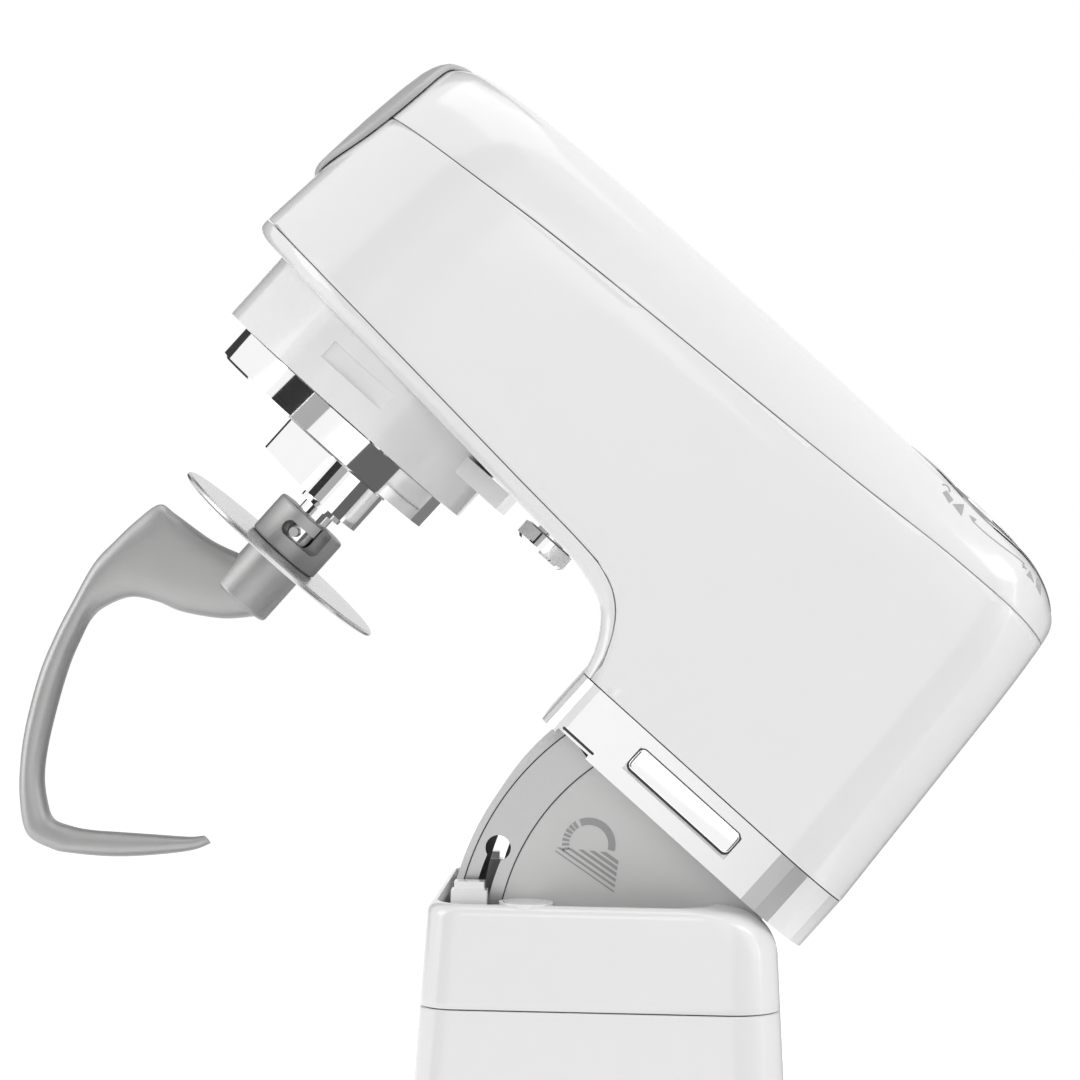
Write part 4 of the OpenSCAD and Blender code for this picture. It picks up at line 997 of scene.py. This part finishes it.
def rounded_box(w, h, r, steps=8):
    """Outline of a rectangle about the origin, with round corners."""
    a, b = w / 2 - r, h / 2 - r
    rounds = ((a, b, r, 0), (-a, b, r, 90), (-a, -b, r, 180), (a, -b, r, 270))
    return [p for corner in rounds for p in arc(*corner, 90, steps)]


def on_side(side, face, at):
    """Surface of a flat side of the head, for (along x, up, outward) measured from at."""
    return lambda a, b, h: (at[0] + a, side * (face + h), at[1] + b)


def on_band(outlines, side, at):
    """Rings over a side of the neck band, from flat outlines each with its height."""
    place = on_side(side, BAND_FACE, at)
    return [[place(a, b, h) for a, b in outline] for outline, h in outlines]


def plate_outline(d=0.0):
    """Outline of the badge's plate, drawn in by half of d all round."""
    return [(a, b + PLATE_UP) for a, b in rounded_box(PLATE_W - d, PLATE_H - d, PLATE_ROUND - d / 2)]


def badge_gap(side):
    """Dark channel round the badge."""
    outer, inner = rounded_box(BADGE_W, BADGE_H, 2.4), plate_outline()
    low, high = -0.3, 0.06
    return looped_skin(on_band([(outer, low), (outer, high), (inner, high), (inner, low)], side, BADGE_AT))


def badge_plate(side):
    """Plate with a raised edge."""
    steps = ((0, -1.0), (0, 0.1), (0.12, 0.3), (0.4, 0.42), (0.9, 0.36), (1.3, 0.2), (1.7, 0.16))
    return skin(on_band([(plate_outline(d), up) for d, up in steps], side, BADGE_AT))


# Black plate flush with the band where the slit opens: it paints the shade inside the slit.
def slit_shade_bar(side):
    outline = rounded_box(SLIT_W, SLIT_H, 0.4, 4)
    return skin(on_band([(outline, -0.3), (outline, 0.08)], side, SLIT_AT))


def strip_lines():
    """Dark joints along both edges of the lock strip, round the hinge."""
    return [arc_line(r, 167, 246, 0.42, 60) for r in (77.3, 91.5)]


def padlock_lines():
    """Striped padlock: an arched shackle broken into dashes at its left, and a body of slanting bars."""
    lines = [arc_line(SHACKLE_R, -14, 112, SHACKLE_WIDE, 30)]
    lines += [arc_line(SHACKLE_R, 121 + 11.3 * k, 129.2 + 10.95 * k, SHACKLE_WIDE, 3) for k in range(7)]
    for k, wide in enumerate(BARS):
        a, b = (5.8 - 3.83 * k, -2.4 + 0.3 * k), (10.1 - 0.25 * k, -5.3 - 2.04 * k)
        if k == 5:
            a = (-10.8, -2.4)
        lines.append([a, b, (b[0] - 0.15, b[1] - wide), (a[0] - wide * 1.45, a[1])])
    c, s = cos(OPEN), sin(OPEN)
    return [[(u * c - v * s, u * s + v * c) for u, v in line] for line in lines]


class MIXER_OT_trim(bpy.types.Operator):
    """Blank badge in its channel, slit of the neck band and the printed padlock, on both sides"""
    bl_idname = "mixer.trim"
    bl_label = "Trim and Marks"

    def execute(self, context):
        for tag, side in (("near", -1), ("far", 1)):
            head_piece("badge_channel_" + tag, badge_gap(side), "black_plastic", "black_plastic")
            # The slit's black plate is painted shade, standing in for the dark inside of the opening.
            head_piece("band_slit_" + tag, slit_shade_bar(side), "black_plastic", "black_plastic")
            head_piece("badge_" + tag, badge_plate(side), "chrome", "chrome", "name_plate")
            print_on_head("strip_joints_" + tag, strip_lines(), on_side(side, PANEL_FACE, (0, 0)),
                          "black_plastic", "black_plastic")
            print_on_head("padlock_" + tag, padlock_lines(), on_side(side, PANEL_FACE, PADLOCK_AT),
                          "grey_plastic", "print_dark")
        return {"FINISHED"}


# ---- The tool ----
SPINDLE = (-204.1, -28.25)
HUB_R = 13.6
HUB_PROFILE = [(0, -23), (11, -23), (11, -0.5), (HUB_R, -0.5), (HUB_R, 15.3), (6.3, 15.3), (6.3, 0.4),
               (0, 0.4)]
PIN_Z, MOUTH_Z = 8.2, 22  # heights of the drive pin and of the slot's open end
ENTRY, LOCKED = 128, 80  # turns at which the pin goes in and drives
# Outer and inner edge of the arm, from the hub to the tip
HOOK_RUNGS = [
    ((-10, -10.5), (8, -23)), ((-21, -13.8), (0, -31.3)), ((-36.3, -15.5), (-12, -39)),
    ((-43, -16.8), (-21, -42.3)), ((-45.2, -26), (-29, -47.4)), ((-46, -36), (-33.3, -56)),
    ((-46.2, -47), (-34, -62.5)), ((-43, -61), (-32, -70)), ((-39.8, -73), (-29, -78.5)),
    ((-34.8, -87), (-23.5, -90)), ((-26.5, -103), (-16, -103.5)), ((-18.6, -114.5), (-9.5, -112.5)),
    ((-10, -124), (-3, -118)), ((0, -130.9), (3.1, -121)), ((9.9, -128.7), (9.5, -118.6)),
    ((16, -125), (15.8, -114.6)), ((27, -116.4), (24, -108)), ((37, -106.6), (32, -101.5)),
    ((46.5, -95.6), (42.5, -93)), ((49.7, -89.3), (46.2, -88.9)),
]
ARM_END = len(HOOK_RUNGS) - 1
SWAY_FROM, SWAY = 6, -14  # rung where the arm leaves the middle plane, and how far
TIP = 1.5  # length of the thinned tip, in rungs


def through(points, t):
    """Catmull-Rom curve through a list of tuples, at t counted in steps along the list."""
    k = min(int(t), len(points) - 2)
    u = t - k
    p0, p1, p2, p3 = (points[max(0, min(len(points) - 1, k + d))] for d in (-1, 0, 1, 2))
    return tuple(0.5 * (2 * b + (c - a) * u + (2 * a - 5 * b + 4 * c - d) * u * u
                        + (3 * b - a - 3 * c + d) * u ** 3) for a, b, c, d in zip(p0, p1, p2, p3))


def hook_section(t):
    """Soft-cornered oval across the arm, t rungs along it."""
    outer, inner = (through([rung[edge] for rung in HOOK_RUNGS], t) for edge in (0, 1))
    cx, cz = (outer[0] + inner[0]) / 2, (outer[1] + inner[1]) / 2
    hx, hz = (outer[0] - inner[0]) / 2, (outer[1] - inner[1]) / 2
    sway = 0 if t < SWAY_FROM else SWAY * ((t - SWAY_FROM) / (ARM_END - SWAY_FROM)) ** 1.6
    half = 5.5 + max(0, 1.2 - 0.3 * t)
    if t > ARM_END - TIP:
        half = 2 + 3.5 * min(1, (ARM_END - t) / TIP)
    oval = [(copysign(abs(c) ** 0.86, c), copysign(abs(s) ** 0.9, s)) for c, s in circle(1, 28)]
    return [(cx + hx * c, sway + half * s, cz + hz * c) for c, s in oval]


def turned(profile, steps=96):
    """bmesh of a closed profile of (radius, z) points turned about the z axis."""
    bm = bmesh.new()
    rows = []
    for r, z in profile:
        if r < 1e-6:
            rows.append([bm.verts.new((0, 0, z))] * steps)
        else:
            rows.append([bm.verts.new((a, b, z)) for a, b in circle(r, steps)])
    for a, b in zip(rows, rows[1:] + rows[:1]):
        for k in range(steps):
            n = (k + 1) % steps
            verts = list(dict.fromkeys((a[k], a[n], b[n], b[k])))
            if len(verts) > 2:
                bm.faces.new(verts)
    return bm


def rounded_profile(points, radius, steps=4):
    """Closed chain of (r, z) points with every corner rounded, except those on the axis."""
    out = []
    for k, p in enumerate(points):
        a, b = points[k - 1], points[(k + 1) % len(points)]
        if p[0] < 1e-6:
            out.append(p)
            continue
        va, vb = Vector((a[0] - p[0], a[1] - p[1])), Vector((b[0] - p[0], b[1] - p[1]))
        reach = min(radius, va.length * 0.45, vb.length * 0.45)
        va, vb = va.normalized() * reach, vb.normalized() * reach
        for j in range(steps + 1):
            t = j / steps
            q = Vector(p) + va * (1 - t) ** 2 + vb * t ** 2
            out.append((q.x, q.y))
    return out


def bayonet_cut(a0, a1, z0, z1, half=2.8):
    """Cutter for a stretch of the bayonet slot, round ended, through the hub's wall."""
    rings = []
    for r in (4.5, 9, HUB_R + 3):
        ring = []
        for c, s in circle(1, 24):
            a = radians(a1 if c >= 0 else a0) + half * c / r
            ring.append((r * cos(a), r * sin(a), (z1 if s >= 0 else z0) + half * s))
        rings.append(ring)
    return skin(rings)


HOOK_AT = HEAD @ Matrix.Translation(Vector((SPINDLE[0], SPINDLE[1], 0)) * MM)


class MIXER_OT_dough_hook(bpy.types.Operator):
    """Cast dough hook with its bayonet hub"""
    bl_idname = "mixer.dough_hook"
    bl_label = "Dough Hook"

    def execute(self, context):
        steps = 114
        arm = mesh_piece("arm", skin([hook_section(ARM_END * k / steps) for k in range(steps + 1)]), HOOK_AT)
        hook = mesh_piece("hook", turned(rounded_profile(HUB_PROFILE, 1.4)), HOOK_AT)
        join_by(hook, arm, "UNION")
        for turn in (0, 180):
            for a0, a1, z0, z1 in ((ENTRY, ENTRY, PIN_Z, MOUTH_Z), (LOCKED, ENTRY, PIN_Z, PIN_Z)):
                slot = bayonet_cut(a0 + turn, a1 + turn, z0, z1)
                join_by(hook, mesh_piece("slot", slot, HOOK_AT), "DIFFERENCE")
        steady_normals(hook, 40)
        finish_edges(hook, 0.5, 2, 50)
        ride_as(hook, "hook", "cast_aluminium", finish("cast_aluminium"), "dough_hook")
        return {"FINISHED"}


# ---- Camera, floor and light ----
SHOT = 1080  # the frame is square
FOCUS = 2560  # focal length in frame pixels
CAMERA_AT = Vector((68.4, -911, 300.7)) * MM
CAMERA_YAW, CAMERA_PITCH, CAMERA_ROLL = radians(1.927), radians(1.40), radians(1.0)
FLOOR_GLOW, FLOOR_HALF = 0.5, 6000
# name, place, point aimed at, size, watts
LAMPS = [("left", (-2.0, -0.7, 1.0), (0, 0, 0.3), (1.2, 1.6), 15),
         ("right", (2.0, -0.6, 0.9), (0, 0, 0.25), (1.0, 1.6), 17),
         ("front", (-0.3, -2.3, 1.3), (0, 0, 0.25), (1.6, 1.2), 9),
         ("top", (0.2, 0.1, 1.9), (0, 0, 0.3), (1.6, 1.2), 7)]
CARDS_ROUND = Vector((-0.05, 0, 0.36))  # middle of the drive
CARD_LONG = 3.0
# name, turn, half width and tip in degrees, distance, level
CARDS = [("card_left", -37, 12, 0, 0.9, 0.02),
         ("card_middle", -15.5, 9, 0, 0.8, 0.42),
         ("card_right", 56, 19, 0, 0.5, 0.12),
         ("card_far_right", 103, 26, 0, 0.55, 0.42),
         ("card_back_left", -142, 14, 0, 2.0, 0.03),
         ("card_back_right", 142, 16, 0, 0.6, 0.2),
         ("card_low", 0, 38, 82, 2.6, 0.05)]


def add_camera():
    data = bpy.data.cameras.new("camera")
    data.sensor_width = 36
    data.lens = 36 * FOCUS / SHOT
    data.clip_start = 0.05
    camera = bpy.data.objects.new("camera", data)
    place = Matrix.Translation(CAMERA_AT)
    for angle, axis in ((CAMERA_YAW, "Z"), (pi / 2 + CAMERA_PITCH, "X"), (CAMERA_ROLL, "Z")):
        place = place @ Matrix.Rotation(angle, 4, axis)
    camera.matrix_world = place
    bpy.context.scene.collection.objects.link(camera)
    bpy.context.scene.camera = camera


def add_lamp(name, at, aim, size, power):
    data = bpy.data.lights.new(name, "AREA")
    data.shape = "RECTANGLE"
    data.size, data.size_y = size
    data.energy = power
    lamp = bpy.data.objects.new(name, data)
    lamp.location = at
    lamp.rotation_euler = (Vector(aim) - Vector(at)).to_track_quat("-Z", "Y").to_euler()
    bpy.context.scene.collection.objects.link(lamp)


class Surroundings(Shader):
    """World: white to the camera and to mirrors, a softer grey as a light."""

    def __init__(self, name, fill):
        world = bpy.data.worlds.new(name)
        bpy.context.scene.world = world
        world.use_nodes = True
        self.tree = world.node_tree
        self.tree.nodes.clear()
        soft = self.node("ShaderNodeBackground", {}, {"Color": (1, 1, 1, 1), "Strength": fill})
        white = self.node("ShaderNodeBackground", {}, {"Color": (1, 1, 1, 1), "Strength": 1.0})
        both = self.node("ShaderNodeMixShader", {}, {0: seen_directly(self), 1: soft, 2: white})
        self.node("ShaderNodeOutputWorld", {}, {"Surface": both}, output=None)


def seen_directly(shader):
    """1 for camera, mirror and glass rays, 0 for diffuse ones."""
    camera, mirror, glass = (shader.node("ShaderNodeLightPath", output=f"Is {kind} Ray")
                             for kind in ("Camera", "Glossy", "Transmission"))
    return camera.math("MAXIMUM", camera, camera.math("MAXIMUM", mirror, glass))


def floor_material():
    s = Shader("studio_floor", Roughness=0.9)
    s.set(Base_Color=(0.9, 0.9, 0.9, 1), Emission_Color=s.tint(seen_directly(s), grey(0.0), grey(1.0)),
          Emission_Strength=FLOOR_GLOW)
    return s.material


def add_card(name, turn, half, down, away, level):
    """A dark card seen only in bright metal, turned round the drive from the front or tipped down."""
    aim = Matrix.Rotation(radians(turn), 3, "Z") @ Matrix.Rotation(radians(down), 3, "X")
    out, up = (HEAD.to_3x3() @ (aim @ Vector(axis)) for axis in ((0, -1, 0), (0, 0, 1)))
    middle = CARDS_ROUND + out * away
    wide = tan(radians(half))
    w, h = out.cross(up) * away * wide, up * away * (wide if down else CARD_LONG / 2)
    bm = bmesh.new()
    corners_at = [middle + a * w + b * h for a, b in ((-1, -1), (1, -1), (1, 1), (-1, 1))]
    bm.faces.new([bm.verts.new(p / MM) for p in corners_at])
    card = mesh_piece(name, bm)
    s = Shader(name, Roughness=1.0)
    s.set(Base_Color=(0, 0, 0, 1), Emission_Color=(level, level, level, 1), Emission_Strength=1.0)
    card.data.materials.append(s.material)
    card.visible_camera = card.visible_shadow = card.visible_diffuse = False


class MIXER_OT_studio(bpy.types.Operator):
    """Camera, plain floor, soft lamps, dark cards and white surroundings"""
    bl_idname = "mixer.studio"
    bl_label = "Studio"

    def execute(self, context):
        bpy.context.scene.view_settings.view_transform = "Standard"
        add_camera()
        bm = bmesh.new()
        bmesh.ops.create_grid(bm, x_segments=1, y_segments=1, size=FLOOR_HALF)
        floor = mesh_piece("floor", bm)
        floor.data.materials.append(floor_material())
        Surroundings("studio", context.scene.mixer_finish.fill)
        for lamp in LAMPS:
            add_lamp(*lamp)
        for card in CARDS:
            add_card(*card)
        return {"FINISHED"}


# ---- CAD nodes that keep their shape ----
OWN_FINISH = {"neck_band": "satin_band"}  # nodes whose finish is not that of their slot


class MIXER_OT_cad_finishes(bpy.types.Operator):
    """A finish for every CAD node, and rounded edges on those that show"""
    bl_idname = "mixer.cad_finishes"
    bl_label = "CAD Finishes"

    def execute(self, context):
        for part in frame["record"]["subparts"]:
            obj = frame["nodes"][part["node"]]
            obj.data.materials.clear()
            obj.data.materials.append(finish(OWN_FINISH.get(part["node"], part["material_slot"])))
            obj.data.shade_smooth()
            finish_edges(obj, 0.3, 2, 35)
            weight_normals(obj)
        return {"FINISHED"}


class MIXER_PT_panel(bpy.types.Panel):
    """Lists the steps that dress the mixer"""
    bl_label = "Stand Mixer"
    bl_idname = "MIXER_PT_panel"
    bl_space_type = "VIEW_3D"
    bl_region_type = "UI"
    bl_category = "Stand Mixer"

    def draw(self, context):
        for group in (context.scene.mixer_sizes, context.scene.mixer_finish):
            box = self.layout.box()
            for name in group.bl_rna.properties.keys():
                if name not in ("rna_type", "name"):
                    box.prop(group, name)
        for step in STEPS:
            self.layout.operator(step.bl_idname)


STEPS = (MIXER_OT_studio, MIXER_OT_cad_finishes, MIXER_OT_head_covers, MIXER_OT_caps, MIXER_OT_base_shells,
         MIXER_OT_trim, MIXER_OT_dough_hook)
CLASSES = (MixerSizes, MixerFinish) + STEPS + (MIXER_PT_panel,)


def register():
    for cls in CLASSES:
        bpy.utils.register_class(cls)
    bpy.types.Scene.mixer_sizes = PointerProperty(type=MixerSizes)
    bpy.types.Scene.mixer_finish = PointerProperty(type=MixerFinish)


def unregister():
    del bpy.types.Scene.mixer_sizes
    del bpy.types.Scene.mixer_finish
    for cls in reversed(CLASSES):
        bpy.utils.unregister_class(cls)


def main():
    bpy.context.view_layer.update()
    register()
    for step in STEPS:
        group, name = step.bl_idname.split(".")
        getattr(getattr(bpy.ops, group), name)()


if __name__ == "__main__":
    main()
